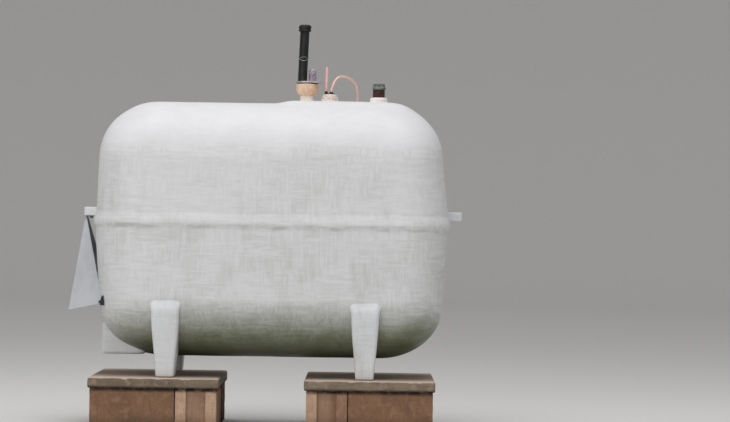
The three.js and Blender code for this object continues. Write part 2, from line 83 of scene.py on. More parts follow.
def outward(points, quads, triangles):
    """Turns every face round where the enclosed volume, a sum of triple products, comes out negative."""
    corners = np.vstack([triangles, quads[:, [0, 1, 2]], quads[:, [0, 2, 3]]])
    first, second, third = (points[corners[:, k]] for k in range(3))
    if np.einsum("ij,ij->", first, np.cross(second, third)) < 0:
        quads, triangles = quads[:, ::-1], triangles[:, ::-1]
    return points, quads, triangles


def closed(grid, looped=False):
    """Joins rings of points into a closed skin. The first and last rings close over their own middles,
    or on each other where the grid is looped."""
    rings, columns = grid.shape[:2]
    index = np.arange(rings * columns).reshape(rings, columns)
    if looped:
        index = np.vstack([index, index[:1]])
    beside = np.roll(index, -1, axis=1)
    quads = np.stack([index[:-1], beside[:-1], beside[1:], index[1:]], axis=-1).reshape(-1, 4)
    points = grid.reshape(-1, 3)
    triangles = np.empty((0, 3), int)
    if not looped:
        foot, tip = (np.full(columns, rings * columns + k) for k in (0, 1))
        points = np.vstack([points, grid[[0, -1]].mean(axis=1)])
        triangles = np.vstack([
            np.stack([beside[0], index[0], foot], axis=-1),
            np.stack([index[-1], beside[-1], tip], axis=-1),
        ])
    return outward(points, quads, triangles)


def together(*skins):
    """Puts several closed skins into one, each with its point numbers moved past those before it."""
    starts = np.cumsum([0] + [len(points) for points, _, _ in skins[:-1]])
    return (
        np.vstack([points for points, _, _ in skins]),
        np.vstack([quads + start for (_, quads, _), start in zip(skins, starts)]),
        np.vstack([triangles + start for (_, _, triangles), start in zip(skins, starts)]),
    )


def moved(skin, shift, turn=None):
    """Turns a skin by a rotation matrix, then shifts it."""
    points, quads, triangles = skin
    if turn is not None:
        points = points @ np.array(turn.to_3x3()).T
    return points + np.array(shift), quads, triangles


# %% [markdown]
# A finished piece is an object at the origin with its place in its mesh. It rides on the one body and
# stands for its CAD nodes. Curved faces shade smoothly, and edges sharper than a set angle stay crisp.

# %% Show a skin as a piece
def show(name, skin, finish, slot, *nodes, crisp=40, worn_edge=0):
    """Makes a skin's object. Nodes are the CAD nodes that it stands for, crisp is the angle in degrees from
    which an edge stays sharp, and worn_edge is the width of its bevel in millimetres."""
    points, quads, triangles = skin
    mesh = bpy.data.meshes.new(name)
    place = (points + (TANK_MIDDLE, 0, 0)) * MM
    mesh.from_pydata(place.tolist(), [], quads.tolist() + triangles.tolist())
    mesh.shade_smooth()
    mesh.set_sharp_from_angle(angle=math.radians(crisp))
    mesh.materials.append(finish)
    piece = bpy.data.objects.new(name, mesh)
    bpy.context.scene.collection.objects.link(piece)
    if worn_edge:
        bevel = piece.modifiers.new("worn edges", "BEVEL")
        bevel.width = worn_edge * MM
        bevel.segments = 2
        bevel.limit_method = "ANGLE"
        bevel.angle_limit = math.radians(crisp)
    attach(piece, "root")
    if nodes:
        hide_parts(*nodes)
    print(f"{name}: {len(quads) * 2 + len(triangles)} triangles")
    return piece


# %% [markdown]
# Real edges are never perfectly sharp. A corner in a profile becomes a short curve, which catches the
# light as a moulded or turned edge does.

# %% Ease corners, turn profiles, carry a circle along a path
def eased(corners, radius, steps=5):
    """Rounds the corners of a line of points. Between radius before a corner and radius after it runs a
    quadratic curve: (1-t)^2 start + 2t(1-t) corner + t^2 end."""
    corners = np.array(corners, float)
    before, corner, after = corners[:-2], corners[1:-1], corners[2:]
    lead = np.linalg.norm(before - corner, axis=1, keepdims=True)
    trail = np.linalg.norm(after - corner, axis=1, keepdims=True)
    start = corner + (before - corner) * np.minimum(radius / lead, 0.5)
    end = corner + (after - corner) * np.minimum(radius / trail, 0.5)
    t = np.linspace(0, 1, steps)[:, None, None]
    curve = (1 - t) ** 2 * start + 2 * t * (1 - t) * corner + t**2 * end
    return np.vstack([corners[:1], curve.transpose(1, 0, 2).reshape(-1, corners.shape[1]), corners[-1:]])


def turned(profile, x=0, base=0, ease=1.5, columns=72, lean=0, flutes=0, flute_depth=0):
    """Turns a profile of [radius, height] points about a vertical axis at x. Its height starts at base,
    lean shears it along X, and flutes press a cosine wave into its radius."""
    line = eased(profile, ease)
    angle = np.linspace(0, 2 * np.pi, columns, endpoint=False)
    radius = line[:, :1] * (1 + flute_depth * np.cos(flutes * angle))
    height = np.broadcast_to(line[:, 1:], radius.shape)
    across = x + radius * np.cos(angle) + lean * height
    return closed(np.stack([across, radius * np.sin(angle), base + height], axis=-1))


def hexagon(flats, height, x=0, y=0, base=0):
    """A hex nut or head. At each angle its radius is the hexagon's, cut by a cone near its two faces."""
    angle = np.linspace(0, 2 * np.pi, 72, endpoint=False)
    within = (angle + np.pi / 6) % (np.pi / 3) - np.pi / 6
    side = flats / 2 / np.cos(within)
    level = np.array([0, 0, 0.08, 0.16, 0.84, 0.92, 1, 1])[:, None] * height
    cone = np.array([0.3, 0.93, 1.01, 1.2, 1.2, 1.01, 0.93, 0.3])[:, None] * flats / 2
    radius = np.minimum(side, cone)
    ring = np.stack(np.broadcast_arrays(radius * np.cos(angle), radius * np.sin(angle), level), axis=-1)
    return closed(ring + (x, y, base))


def unit(vectors):
    """Vectors divided by their own length."""
    return vectors / np.maximum(np.linalg.norm(vectors, axis=-1, keepdims=True), 1e-9)


def swept(path, radius, sideways, columns=20, looped=False):
    """Carries a circle along a path. At each point the circle lies square to the path's own direction,
    and its first axis is square to both that direction and a fixed sideways one."""
    heading = np.roll(path, -1, axis=0) - np.roll(path, 1, axis=0) if looped else np.gradient(path, axis=0)
    first = unit(np.cross(heading, sideways))
    second = unit(np.cross(heading, first))
    angle = np.linspace(0, 2 * np.pi, columns, endpoint=False)[:, None]
    circle = np.cos(angle) * first[:, None] + np.sin(angle) * second[:, None]
    return closed(path[:, None] + radius * circle, looped)


# %% [markdown]
# The moulding's level sections, its legs and its sump are all rounded rectangles. One pattern walks
# around such a shape with the same number of points on each straight and each corner, so sections of any
# size join into a smooth skin.

# %% Rounded rectangles
SIDE, CORNER, LONG = 10, 18, 26
WALK = np.cumsum([0, SIDE, CORNER, 2 * LONG, CORNER, 2 * SIDE, CORNER, 2 * LONG, CORNER, SIDE])
STEP = np.arange(WALK[-1])
PLAN_X = np.interp(STEP, WALK, [1, 1, 1, -1, -1, -1, -1, 1, 1, 1])
PLAN_Y = np.interp(STEP, WALK, [0, 1, 1, 1, 1, -1, -1, -1, -1, 0])
PLAN_ANGLE = np.radians(np.interp(STEP, WALK, [0, 0, 90, 90, 180, 180, 270, 270, 360, 360]))


def plan(half_x, half_y, corner, x=0, y=0, z=0):
    """Rings of a rounded rectangle: a point of the inner rectangle, plus the corner radius at its angle."""
    across = x + PLAN_X * (half_x - corner) + corner * np.cos(PLAN_ANGLE)
    along = y + PLAN_Y * (half_y - corner) + corner * np.sin(PLAN_ANGLE)
    return np.stack(np.broadcast_arrays(across, along, z * np.ones(1)), axis=-1)


def slab_of(half_x, half_y, bottom, top, corner, edge, x=0, y=0):
    """A flat rounded block. Its rings draw in by a quarter circle near its bottom and its top."""
    turn = np.radians(np.linspace(0, 90, 6))
    middle = [0.7 * half_y]
    inset = np.concatenate([middle, edge * (1 - np.sin(turn)), edge * (1 - np.cos(turn)), middle])
    level = np.concatenate([
        [bottom], bottom + edge * (1 - np.cos(turn)), top - edge * (1 - np.sin(turn)), [top]
    ])
    inset, level = inset[:, None], level[:, None]
    corners = np.maximum(corner - inset, 0.2)
    return closed(plan(half_x - inset, half_y - inset, corners, x, y, level))


def waves(points, size, depth, seed, count=14):
    """A smooth uneven field: a sum of sine waves about as long as size, in directions drawn from a seed."""
    draw = np.random.default_rng(seed)
    direction = unit(draw.normal(size=(count, 3)))
    number = direction * (2 * np.pi / size) * draw.uniform(0.6, 1.6, (count, 1))
    phase = draw.uniform(0, 2 * np.pi, count)
    return depth * np.sin(points @ number.T + phase).sum(axis=-1) / math.sqrt(count)


# %% [markdown]
# ## Finishes
# Each finish is a node material named for what the real surface is. Its patterns sit on Object
# coordinates, which are metres here, so a scale of 1000 / size gives features of that size in
# millimetres. One small function adds a node, and hex colours are turned from sRGB to linear.

# %% Colours and nodes
def linear(hex_colour):
    """The sRGB curve undone: value / 12.92 near black, else ((value + 0.055) / 1.055) ^ 2.4."""
    value = np.array([int(hex_colour[k:k + 2], 16) for k in (1, 3, 5)]) / 255
    level = np.where(value <= 0.04045, value / 12.92, ((value + 0.055) / 1.055) ** 2.4)
    return (*level.tolist(), 1)


def add(tree, kind, inputs, output=0, **settings):
    """Adds one shader node and gives back one of its outputs. Inputs give a socket, by name or number, a
    value or the output of another node. Settings are the node's options."""
    made = tree.nodes.new("ShaderNode" + kind)
    for option, value in settings.items():
        setattr(made, option, value)
    for socket, value in inputs.items():
        if isinstance(value, bpy.types.NodeSocket):
            tree.links.new(value, made.inputs[socket])
        else:
            made.inputs[socket].default_value = value
    return made.outputs[output]


def begin(name):
    """A new material with its node tree, its shader and its Object coordinates."""
    finish = bpy.data.materials.new(name)
    finish.use_nodes = True
    tree = finish.node_tree
    return finish, tree, tree.nodes["Principled BSDF"], add(tree, "TexCoord", {}, "Object")


def speckle(tree, place, size, detail=4, stretch=(1, 1, 1)):
    """Cloudy noise with features of a size in millimetres, drawn out along axes by a stretch."""
    scale = [1000 / size / s for s in stretch]
    spread = add(tree, "Mapping", {"Vector": place, "Scale": scale})
    return add(tree, "TexNoise", {"Vector": spread, "Scale": 1, "Detail": detail, "Roughness": 0.6})


# %% [markdown]
# Weathering can be read as a list of what has settled on a surface, in order. A mask says how much
# something shows at a point, and masks multiply. A film is a colour that lies over those below it, as much
# as its masks let it. Two functions turn such a list into nodes, and a third hands the result to the shader.

# %% Masks, films and the surface
def amount(tree, *masks):
    """The product of masks. Each is a number, a node's output, or a field with its limits: the field taken
    from low..high to start..end along a smooth step, and held outside. Without start and end it is 0..1."""
    factors = [
        add(tree, "MapRange", dict(enumerate(mask)), interpolation_type="SMOOTHSTEP")
        if isinstance(mask, tuple) else mask
        for mask in masks
    ]
    product = factors[0]
    for factor in factors[1:]:
        product = add(tree, "Math", {0: product, 1: factor}, operation="MULTIPLY")
    return product


def filmed(tree, base, *films):
    """Lays films over a base colour, one by one. Each gives below * (1 - amount) + film * amount."""
    colour = linear(base)
    for film, *masks in films:
        layers = {0: amount(tree, *masks), 6: colour, 7: linear(film)}
        colour = add(tree, "Mix", layers, 2, data_type="RGBA")
    return colour


def surface(tree, shader, colour, roughness, relief=None, depth=0, strength=1):
    """Gives the shader its colour and roughness, and a relief of 0..1 that stands for a depth in mm."""
    tree.links.new(colour, shader.inputs["Base Color"])
    tree.links.new(roughness, shader.inputs["Roughness"])
    if relief is not None:
        bump = add(tree, "Bump", {"Height": relief, "Distance": depth * MM, "Strength": strength})
        tree.links.new(bump, shader.inputs["Normal"])


# %% [markdown]
# ### Weathered gelcoat
# The tank is laid up from glass cloth in a mould, and its white gelcoat has gone chalky outdoors. The
# cloth prints through as short soft wrinkles, some level and some upright, and least on the crown. Rain
# has drawn faint upright streaks. Under the lap lies a band of painted shade with some dirt in it. Olive
# algae and painted shade darken the underside more and more as the wall turns away from the sky, least at
# the left end, and the darkest painted shade underneath weakens towards the right end. The cloth's print is
# drawn at about 12 mm, coarser than real roving, so that it shows. Heights and places in the masks are
# metres.

# %% Weathered gelcoat
def weathered_gelcoat(name, algae_and_shade=1.0, cloth=1.0, white="#E6E6E8"):
    """The two numbers after the name say how strongly the underside darkens with an olive film and painted
    shade, and how strongly the cloth prints, each from 0 to 1. White is the wall's clean colour.
    """
    finish, tree, shader, place = begin(name)
    along = add(tree, "SeparateXYZ", {0: place}, "X")
    height = add(tree, "SeparateXYZ", {0: place}, "Z")
    facing = add(tree, "SeparateXYZ", {0: add(tree, "NewGeometry", {}, "Normal")}, "Z")
    upright = speckle(tree, place, 11, 3, (1, 1, 8))
    level = speckle(tree, place, 12, 3, (8, 8, 1))
    which_way = amount(tree, (speckle(tree, place, 75, 3), 0.38, 0.6, 0.2, 0.9))
    cloth_print = add(tree, "Mix", {0: which_way, 2: upright, 3: level})
    drift = speckle(tree, place, 60, 4, (1, 1, 5))
    cloud = speckle(tree, place, 240, 4)
    lap_shade_and_dirt = speckle(tree, place, 30, 3, (4, 4, 1))
    speck = speckle(tree, place, 3, 2)

    on_wall = amount(tree, (height, 1.36, 1.29))
    printed = amount(tree, (on_wall, 0.0, 1.0, 0.3, 1.0), cloth)
    print_depth = (height, 1.05, 0.9, 0.52, 0.58)
    left_end = (along, -0.78, -0.46, 0.36, 1.0)
    right_end = (along, 0.12, 0.5, 1.0, 0.76)
    below_lap = (height, 0.92, 0.86)
    # Painted shade with algae: the further a face turns away from the sky, the darker it gets, least at the
    # left end.
    turned_away = add(tree, "MapRange", {0: facing, 1: -0.03, 2: -0.61, 4: 0.88 * algae_and_shade})
    underneath = add(tree, "MapRange", {0: facing, 1: -0.58, 2: -1.0, 4: algae_and_shade})
    algae_and_shade_mask = amount(tree, turned_away, left_end, (drift, 0.3, 0.7, 0.92, 1.05), below_lap)
    # From the crown's white: the wall's white, the cloth's print, chalky clouds, rain streaks, painted shade
    # with some dirt under the lap, algae with painted shade, darker painted shade with an olive tint
    # underneath, wet algae in the print, and specks of grime.
    colour = filmed(
        tree, "#E2E2E5",
        (white, on_wall),
        ("#C9C9C7", print_depth, (cloud, 0.35, 0.65, 0.6, 1.2), printed, (cloth_print, 0.33, 0.67)),
        ("#CBCBC9", (cloud, 0.4, 0.75, 0.0, 0.2)),
        ("#A9AAA3", (drift, 0.5, 0.78), (height, 1.45, 0.7, 0.04, 0.28)),
        # Painted shade with some dirt: a darker band just under the lap.
        ("#80817A", (height, 0.918, 0.938), (height, 0.962, 0.945), (lap_shade_and_dirt, 0.45, 0.7, 0.0, 0.35)),
        ("#687050", algae_and_shade_mask),
        # Painted shade underneath, with an olive tint: darkest where the wall faces the ground, weaker
        # towards the right end.
        ("#30320A", underneath, left_end, right_end),
        ("#4B5134", algae_and_shade_mask, (cloth_print, 0.4, 0.62, 0.0, 0.3)),
        ("#8C8A80", (speck, 0.62, 0.75), 0.2),
    )
    roughness = amount(tree, (cloud, 0.2, 0.8, 0.42, 0.62))
    surface(tree, shader, colour, roughness, amount(tree, cloth_print, printed), 2.0, 0.25)
    shader.inputs["IOR"].default_value = 1.52
    return finish


gelcoat = weathered_gelcoat("weathered gelcoat")
moulded_white = weathered_gelcoat("moulded white fibreglass", 0.12, 0.6, "#E6E8EB")
print("finishes:", len(bpy.data.materials))

# %% [markdown]
# ### Small finishes
# The fittings are iron, copper, sheet and plastic that have stood outdoors. Each shows a base colour with
# cloudy patches and small flecks of something else: rust on the tan casting, scuffs on black pipe, dust
# on the caps. One recipe serves them all, with the real one's own colours, grain size in millimetres,
# gloss and pits. Flecks is the noise level above which they show, so a lower one gives more of them.

# %% Weathered fittings
def weathered(
    name, base, patch, fleck, grain_size, rough, metallic=0.0, pits=0.2, flecks=0.6, stretch=(1, 1, 1)
):
    """Rough gives the roughness of the smoothest and the roughest grains, and pits their depth in mm."""
    finish, tree, shader, place = begin(name)
    cloud = speckle(tree, place, grain_size * 3, 4, stretch)
    grain = speckle(tree, place, grain_size, 5, stretch)
    fine = speckle(tree, place, grain_size / 4, 3)
    colour = filmed(tree, base, (patch, (cloud, 0.38, 0.62)), (fleck, (grain, flecks, flecks + 0.08)))
    relief = add(tree, "Math", {0: fine, 1: grain}, operation="ADD")
    surface(tree, shader, colour, amount(tree, (grain, 0.3, 0.7, *rough)), relief, pits, 0.6)
    shader.inputs["Metallic"].default_value = metallic
    return finish


tan_casting = weathered(
    "tan painted cast iron", "#F0D1B6", "#E4BC9C", "#AD7757", 9, (0.55, 0.8), pits=0.6
)
lichened_boss = weathered(
    "lichened moulded boss", "#EAE3DC", "#D8C8BB", "#998472", 7, (0.6, 0.85), pits=0.8, flecks=0.56
)
# The neck's copy of the boss finish is lighter: partly its whiter moulding, partly painted light against the
# bell's shade.
lit_lichened_neck = weathered(
    "lichened moulded neck", "#FBF2E8", "#ECDED2", "#A3907F", 6, (0.6, 0.85), pits=0.6
)
clean_collar = weathered(
    "moulded white collar", "#F9F2EE", "#EFE5DF", "#D2C4BA", 9, (0.5, 0.75), pits=0.4, flecks=0.66
)
black_pipe = weathered(
    "black iron pipe", "#161817", "#232726", "#5C605F", 8, (0.38, 0.62), 0.3, 0.25, 0.66, (1, 1, 5)
)
brown_pipe = weathered(
    "rusted iron pipe", "#4C3029", "#33221E", "#7E5140", 7, (0.6, 0.85), metallic=0.15, pits=0.5
)
green_cap = weathered(
    "dusty green cap", "#4A504C", "#727C76", "#AAB5AF", 10, (0.4, 0.65), flecks=0.58
)
plate_steel = weathered(
    "dull zinc plate", "#D2CCCE", "#B5AEAE", "#8A7868", 9, (0.35, 0.6), metallic=0.7, flecks=0.64
)
pink_coating = weathered(
    "faded pink coating", "#FFCBC3", "#F9B9AF", "#E79C92", 8, (0.45, 0.65), flecks=0.66
)
dull_copper = weathered(
    "dull copper tube", "#F6D5C8", "#EBBEAE", "#FBE9E1", 10, (0.35, 0.55), metallic=0.15, pits=0.1
)
turned_brass = weathered(
    "dull brass", "#B3904E", "#94733B", "#6E5A38", 6, (0.3, 0.5), metallic=1.0, pits=0.1, flecks=0.62
)
dark_nut = weathered(
    "dark plated nut", "#2D2825", "#3C342F", "#6B4A38", 4, (0.4, 0.65), metallic=0.6
)
red_float = weathered(
    "faded red plastic", "#A8504C", "#96433F", "#C07A70", 6, (0.4, 0.55), pits=0.1, flecks=0.66
)
bright_wire = weathered(
    "galvanised wire", "#B9BDBE", "#9DA2A3", "#7F8384", 3, (0.3, 0.5), 0.9, pits=0.1, flecks=0.62
)
black_plastic = weathered(
    "black clip plastic", "#17181A", "#222426", "#3A3C3E", 5, (0.4, 0.6), pits=0.15, flecks=0.66
)
zinc_bolt = weathered(
    "zinc-plated steel", "#A9ADAF", "#8F9496", "#80705C", 4, (0.3, 0.5), 1.0, pits=0.1, flecks=0.64
)
cast_alloy = weathered(
    "die-cast aluminium", "#9C9D9B", "#868785", "#6E6F6D", 5, (0.4, 0.6), 1.0, pits=0.4, flecks=0.62
)
black_enamel = weathered(
    "black enamelled bowl", "#1B1C1D", "#252728", "#484A4B", 10, (0.25, 0.45), pits=0.05, flecks=0.68
)
print("finishes:", len(bpy.data.materials))

# %% [markdown]
# ### Coated sheet and clear plastic
# The hood is folded from coated sheet: an even grey that has gone slightly cloudy, with a faint run of
# rain streaks down it. The gauge's vial is clear moulded plastic with a purple tint, so light passes
# through it, and only its edges and its dome show strongly.

# %% Hood sheet and vial
hood_sheet = weathered(
    "coated grey sheet", "#B7B9BD", "#AEB0B4", "#A0A2A6", 30, (0.42, 0.56), 0.25, 0.12, 0.75, (1, 1, 8)
)

vial_plastic, tree, shader, place = begin("purple-tinted clear plastic")
haze = speckle(tree, place, 14, 3)
tint = filmed(tree, "#EEE6F3", ("#DFD2E7", (haze, 0.4, 0.7)))
surface(tree, shader, tint, amount(tree, (haze, 0.3, 0.7, 0.06, 0.14)))
shader.inputs["Transmission Weight"].default_value = 0.8
shader.inputs["IOR"].default_value = 1.49
print("finishes:", len(bpy.data.materials))

# %% [markdown]
# ### Concrete
# Both the slabs and the hollow blocks are cast concrete: sand and small stones in a brownish paste, full of
# pin holes, which are painted dark as the shade in them. The blocks are pressed from a drier mix, so they
# are coarser, and a red-brown stain has soaked into them. Sand grains are about 2 mm and stones 6 mm. The
# faces that look up are painted lighter, most near the slabs' front and back edges, as light falling on them
# and partly as wear. A painted shadow lies in the joint under each slab, the recesses and one ear are
# darker, and damp darkens the blocks near the ground.

# %% Concrete
def concrete(name, paste, worn, stain, stone, top, grain, pit_depth, form_lines, damp=0.0, recess_and_ear_darkening=0.0):
    """Grain and pits are in millimetres, form_lines stretches the mould's marks, and damp near the ground
    and how much darker the recesses and one ear are go from 0 to 1. Top is the colour painted on faces that
    look up, as light falling on them and partly as wear."""
    finish, tree, shader, place = begin(name)
    along = add(tree, "SeparateXYZ", {0: place}, "X")
    across = add(tree, "SeparateXYZ", {0: place}, "Y")
    ground = add(tree, "SeparateXYZ", {0: place}, "Z")
    reach = add(tree, "Math", {0: across}, operation="ABSOLUTE")
    facing = add(tree, "SeparateXYZ", {0: add(tree, "NewGeometry", {}, "Normal")}, "Z")
    cloud = speckle(tree, place, 150, 5)
    blotch = speckle(tree, place, 38, 4)
    sand = speckle(tree, place, grain, 3)
    lines = speckle(tree, place, 9, 4, form_lines)
    stones = add(tree, "TexVoronoi", {"Vector": place, "Scale": 1000 / (3 * grain)}, "Distance")
    holes = add(tree, "TexVoronoi", {"Vector": place, "Scale": 1000 / (4.2 * grain)}, "Distance")

    # Painted light: tops grow lighter towards the front and back edges, away from the tank's shade, partly
    # also wear.
    lit_and_worn_edges = (reach, 0.16, 0.36, 0.3, 1.0)
    in_recess = (reach, 0.364, 0.358, 0.0, recess_and_ear_darkening)
    ear_left, ear_right = (along, 0.3, 0.335, 0.0, 1.6 * recess_and_ear_darkening), (along, 0.43, 0.4)
    slab_shadow_bottom, slab_shadow_top = (ground, 0.17, 0.186), (ground, 0.206, 0.193)
    # From the paste: its clouds, the mould's lines, worn patches, sand, painted shade in the pin holes, the
    # tops lit by painted light and partly worn, the darker recesses, the darker ear, painted shadow in the
    # joint under the slab, and damp near the ground.
    colour = filmed(
        tree, paste,
        (stain, (cloud, 0.35, 0.65)),
        (stain, (lines, 0.45, 0.62, 0.0, 0.5)),
        (worn, (blotch, 0.48, 0.68), 0.55),
        (stone, (sand, 0.55, 0.75, 0.0, 0.5)),
        # Painted shade: the pin holes are darkened as the shade inside them.
        ("#2B231E", (holes, 0.16, 0.08, 0.0, 0.75)),
        # Painted light on the faces that look up, partly also wear.
        (top, (facing, 0.35, 0.8), lit_and_worn_edges, 0.85),
        # Darker in the recesses.
        ("#7C5C43", in_recess),
        # One ear is darker.
        ("#86634B", ear_left, ear_right, (blotch, 0.3, 0.6, 0.7, 1.0)),
        # Painted shadow: a dark band under the slab's overhang, at the joint with the blocks.
        ("#21160F", slab_shadow_bottom, slab_shadow_top, (blotch, 0.35, 0.6, 0.6, 1.0)),
        ("#3B3329", (ground, 0.09, 0.0), damp, (blotch, 0.3, 0.6, 0.4, 1.0)),
    )
    pitted = add(tree, "Math", {0: sand, 1: amount(tree, (holes, 0.06, 0.2))}, operation="ADD")
    relief = add(tree, "Math", {0: pitted, 1: amount(tree, (stones, 0.0, 0.5, 0.5, 0.0))}, operation="ADD")
    surface(tree, shader, colour, amount(tree, (sand, 0.3, 0.7, 0.82, 0.97)), relief, pit_depth, 0.8)
    return finish


LEVEL_LINES, UPRIGHT_LINES = (10, 10, 1), (1, 1, 8)
slab_concrete = concrete(
    "weathered cast slab", "#8F7F6C", "#A8937F", "#6C5F50", "#B3A394", "#D8C2B2", 2.4, 1.2, LEVEL_LINES
)
stained_block = concrete(
    "red-stained hollow block", "#8F6C52", "#A27E63", "#785840", "#AC8E77", "#A58A74", 3.2, 2.0,
    UPRIGHT_LINES, damp=0.7,
)
pale_block = concrete(
    "pale hollow block", "#CBA98E", "#D6B8A0", "#B39076", "#DCC4B0", "#C9AD96", 3.2, 2.0,
    UPRIGHT_LINES, damp=0.7, recess_and_ear_darkening=0.5,
)
print("finishes:", len(bpy.data.materials))

# %% [markdown]
# ## The moulding
# Each half is a tub laid up in a mould. Its wall leans in a little for draft, then turns over in a quarter
# of an ellipse to a flat crown or keel. The section at each level is a rounded rectangle. The upper half
# has sagged a few millimetres to the left, and its crown rises under the fittings to a low deck that runs
# out into the right shoulder. The same formulas made the CAD solids. Here they give four times as many
# points, and add the slight unevenness of hand work.

# %% The tank's shape by level
SEAM_Z = 970.0
WALL = 6.0
CORNER_RADIUS = 200.0
SEAM_HALF = {"along": 826.0, "across": 350.0}
# Along and across give half the size at the end of the straight wall, half the flat's, and the height of
# the turn between them.
UPPER = {
    "side": 1, "height": 557.0, "draft": 1, "lean": 9.0,
    "along": (806.0, 550.0, 264.0), "across": (342.0, 60.0, 300.0),
}
LOWER = {
    "side": -1, "height": 639.0, "draft": 1.6, "lean": 0.0,
    "along": (801.0, 520.0, 244.0), "across": (342.0, 60.0, 290.0),
}
DECK = {
    "x": 338.0, "rise": 14.0, "top": (245.0, 85.0),
    "slope_left": 100.0, "slope_right": 160.0, "slope_back": 75.0,
}


def span(half, way, rise):
    """Half the tank's size at a rise from the seam: the wall with its draft, and past it
    flat + (wall - flat) * sqrt(1 - climb^2)."""
    wall, flat, curve = half[way]
    straight = half["height"] - curve
    drawn = SEAM_HALF[way] - (SEAM_HALF[way] - wall) * np.clip(rise / straight, 0, 1) ** half["draft"]
    climb = np.clip((rise - straight) / curve, 0, 1)
    return np.where(rise < straight, drawn, flat + (wall - flat) * np.sqrt(1 - climb**2))


def smooth(share):
    """A step that leaves and arrives level: 3 s^2 - 2 s^3, held at 0 and 1."""
    share = np.clip(share, 0, 1)
    return share**2 * (3 - 2 * share)


def lean_shift(half, rise):
    """How far a level has moved along X: the upper half leans to the left by a smooth step of its wall."""
    return -half["lean"] * smooth(rise / (half["height"] - half["along"][2]))


def tank_rings(half, rise, swing, offset):
    """Level sections at each rise, grown by an offset along the direction that swings from level to
    upright."""
    half_x = span(half, "along", rise) + offset * np.cos(swing)
    half_y = span(half, "across", rise) + offset * np.cos(swing)
    z = SEAM_Z + half["side"] * (rise + offset * np.sin(swing))
    half_x, half_y, z, x = half_x[:, None], half_y[:, None], z[:, None], lean_shift(half, rise)[:, None]
    return plan(half_x, half_y, np.minimum(CORNER_RADIUS, half_y - 3), x, z=z)


def grid_normals(grid):
    """The cross product of a grid's two directions, made one unit long."""
    around = np.roll(grid, -1, axis=1) - np.roll(grid, 1, axis=1)
    return unit(np.cross(around, np.gradient(grid, axis=0)))


def deck_rise(points):
    """How far the crown is raised under the fittings. The distance past the deck's flat rectangle, counted
    in widths of its slope, goes through a smooth step."""
    from_middle = points[..., 0] - DECK["x"]
    slope = np.where(from_middle > 0, DECK["slope_right"], DECK["slope_left"])
    past_x = (np.abs(from_middle) - DECK["top"][0]) / slope
    past_y = (np.abs(points[..., 1]) - DECK["top"][1]) / DECK["slope_back"]
    return DECK["rise"] * (1 - smooth(np.hypot(np.maximum(past_x, 0), np.maximum(past_y, 0))))


def tub(half, curve_rings=44, wall_rings=26):
    """One half as a shell: from the middle of the crown out and down to the seam, round the rim, and back
    up inside. Over the flat, three rings close in to a narrow strip, and its ring shrinks to its middle."""
    curve = half["across"][2]
    straight = half["height"] - curve
    swing = np.radians(np.linspace(90, 0, curve_rings))
    rise = np.concatenate([straight + curve * np.sin(swing), np.linspace(straight, 0, wall_rings)[1:]])
    swing = np.concatenate([swing, np.zeros(wall_rings - 1)])
    outside = tank_rings(half, rise, swing, 0)
    inside = tank_rings(half, rise[::-3], swing[::-3], -WALL)
    share = np.array([0.1, 0.4, 0.7])[:, None]
    flat_x, flat_y = half["along"][1], half["across"][1]
    edge = flat_y * (1 - share)
    crown = plan(flat_x - edge, flat_y * share, flat_y * share * 0.9, -half["lean"], z=outside[0, 0, 2])
    middle = crown[0].mean(axis=0)
    core = middle + (crown[0] - middle) * np.linspace(0.02, 0.95, 24)[:, None, None]
    outside = np.vstack([core, crown, outside])
    uneven = waves(outside, 420, 0.7, 5) + waves(outside, 130, 0.25, 6)
    fade = np.clip(np.abs(outside[..., 2] - SEAM_Z) / 60, 0, 1)
    outside = outside + grid_normals(outside) * (uneven * fade)[..., None]
    if half is UPPER:
        outside[..., 2] += deck_rise(outside)
    return closed(np.vstack([outside, inside]))


show("upper_moulding", tub(UPPER), gelcoat, "fibreglass", "upper_shell")
show("lower_moulding", tub(LOWER), gelcoat, "fibreglass", "lower_shell")

# %% [markdown]
# ### The lap
# Where the halves meet, the upper one laps over the lower. From outside this is a soft raised band: its
# lower side turns in quickly and lies in shade, and its upper side fades into the wall and catches the
# light. It is one loop, whose outer face stands proud by a formula of the height and whose inner face lies
# just inside the wall.

# %% The lap
BAND_BOTTOM, BAND_CREST, BAND_TOP = 925.0, 957.0, 1014.0
PROUD = 9.5
FACE_ROWS = 36


def band_reach(z):
    """How far the band stands out: a smooth step up to its crest, times a smooth step down above it."""
    rise = smooth((z - BAND_BOTTOM) / (BAND_CREST - BAND_BOTTOM))
    return PROUD * rise * smooth((BAND_TOP - z) / (BAND_TOP - BAND_CREST))


face_z = np.linspace(BAND_BOTTOM, BAND_TOP, FACE_ROWS)
back_z = face_z[::-5]
band_z = np.concatenate([face_z, back_z])
band_out = np.concatenate([band_reach(face_z) - 0.6, np.full(len(back_z), -3.0)])
above = band_z > SEAM_Z
rise = np.abs(band_z - SEAM_Z)
half_x = np.where(above, span(UPPER, "along", rise), span(LOWER, "along", rise)) + band_out
half_y = np.where(above, span(UPPER, "across", rise), span(LOWER, "across", rise)) + band_out
band_x = np.where(above, lean_shift(UPPER, rise), 0)
band_grid = plan(half_x[:, None], half_y[:, None], CORNER_RADIUS, band_x[:, None], z=band_z[:, None])
uneven = waves(band_grid[:FACE_ROWS], 300, 0.5, 9)[..., None]
band_grid[:FACE_ROWS] += grid_normals(band_grid)[:FACE_ROWS] * uneven
show("lap_band", closed(band_grid, looped=True), gelcoat, "fibreglass", "seam_band")

# %% [markdown]
# ### Legs, sump and lugs
# These are moulded on, so they have to grow out of the belly without a gap. Each is a rounded section that
# runs up until it meets the tank's skin, and its end follows that skin just inside the wall. The height of
# the skin over a point is the level at which the rounded rectangle first takes the point in. A leg widens
# upwards, and its shoulder rounds off softly and sinks into the wall.

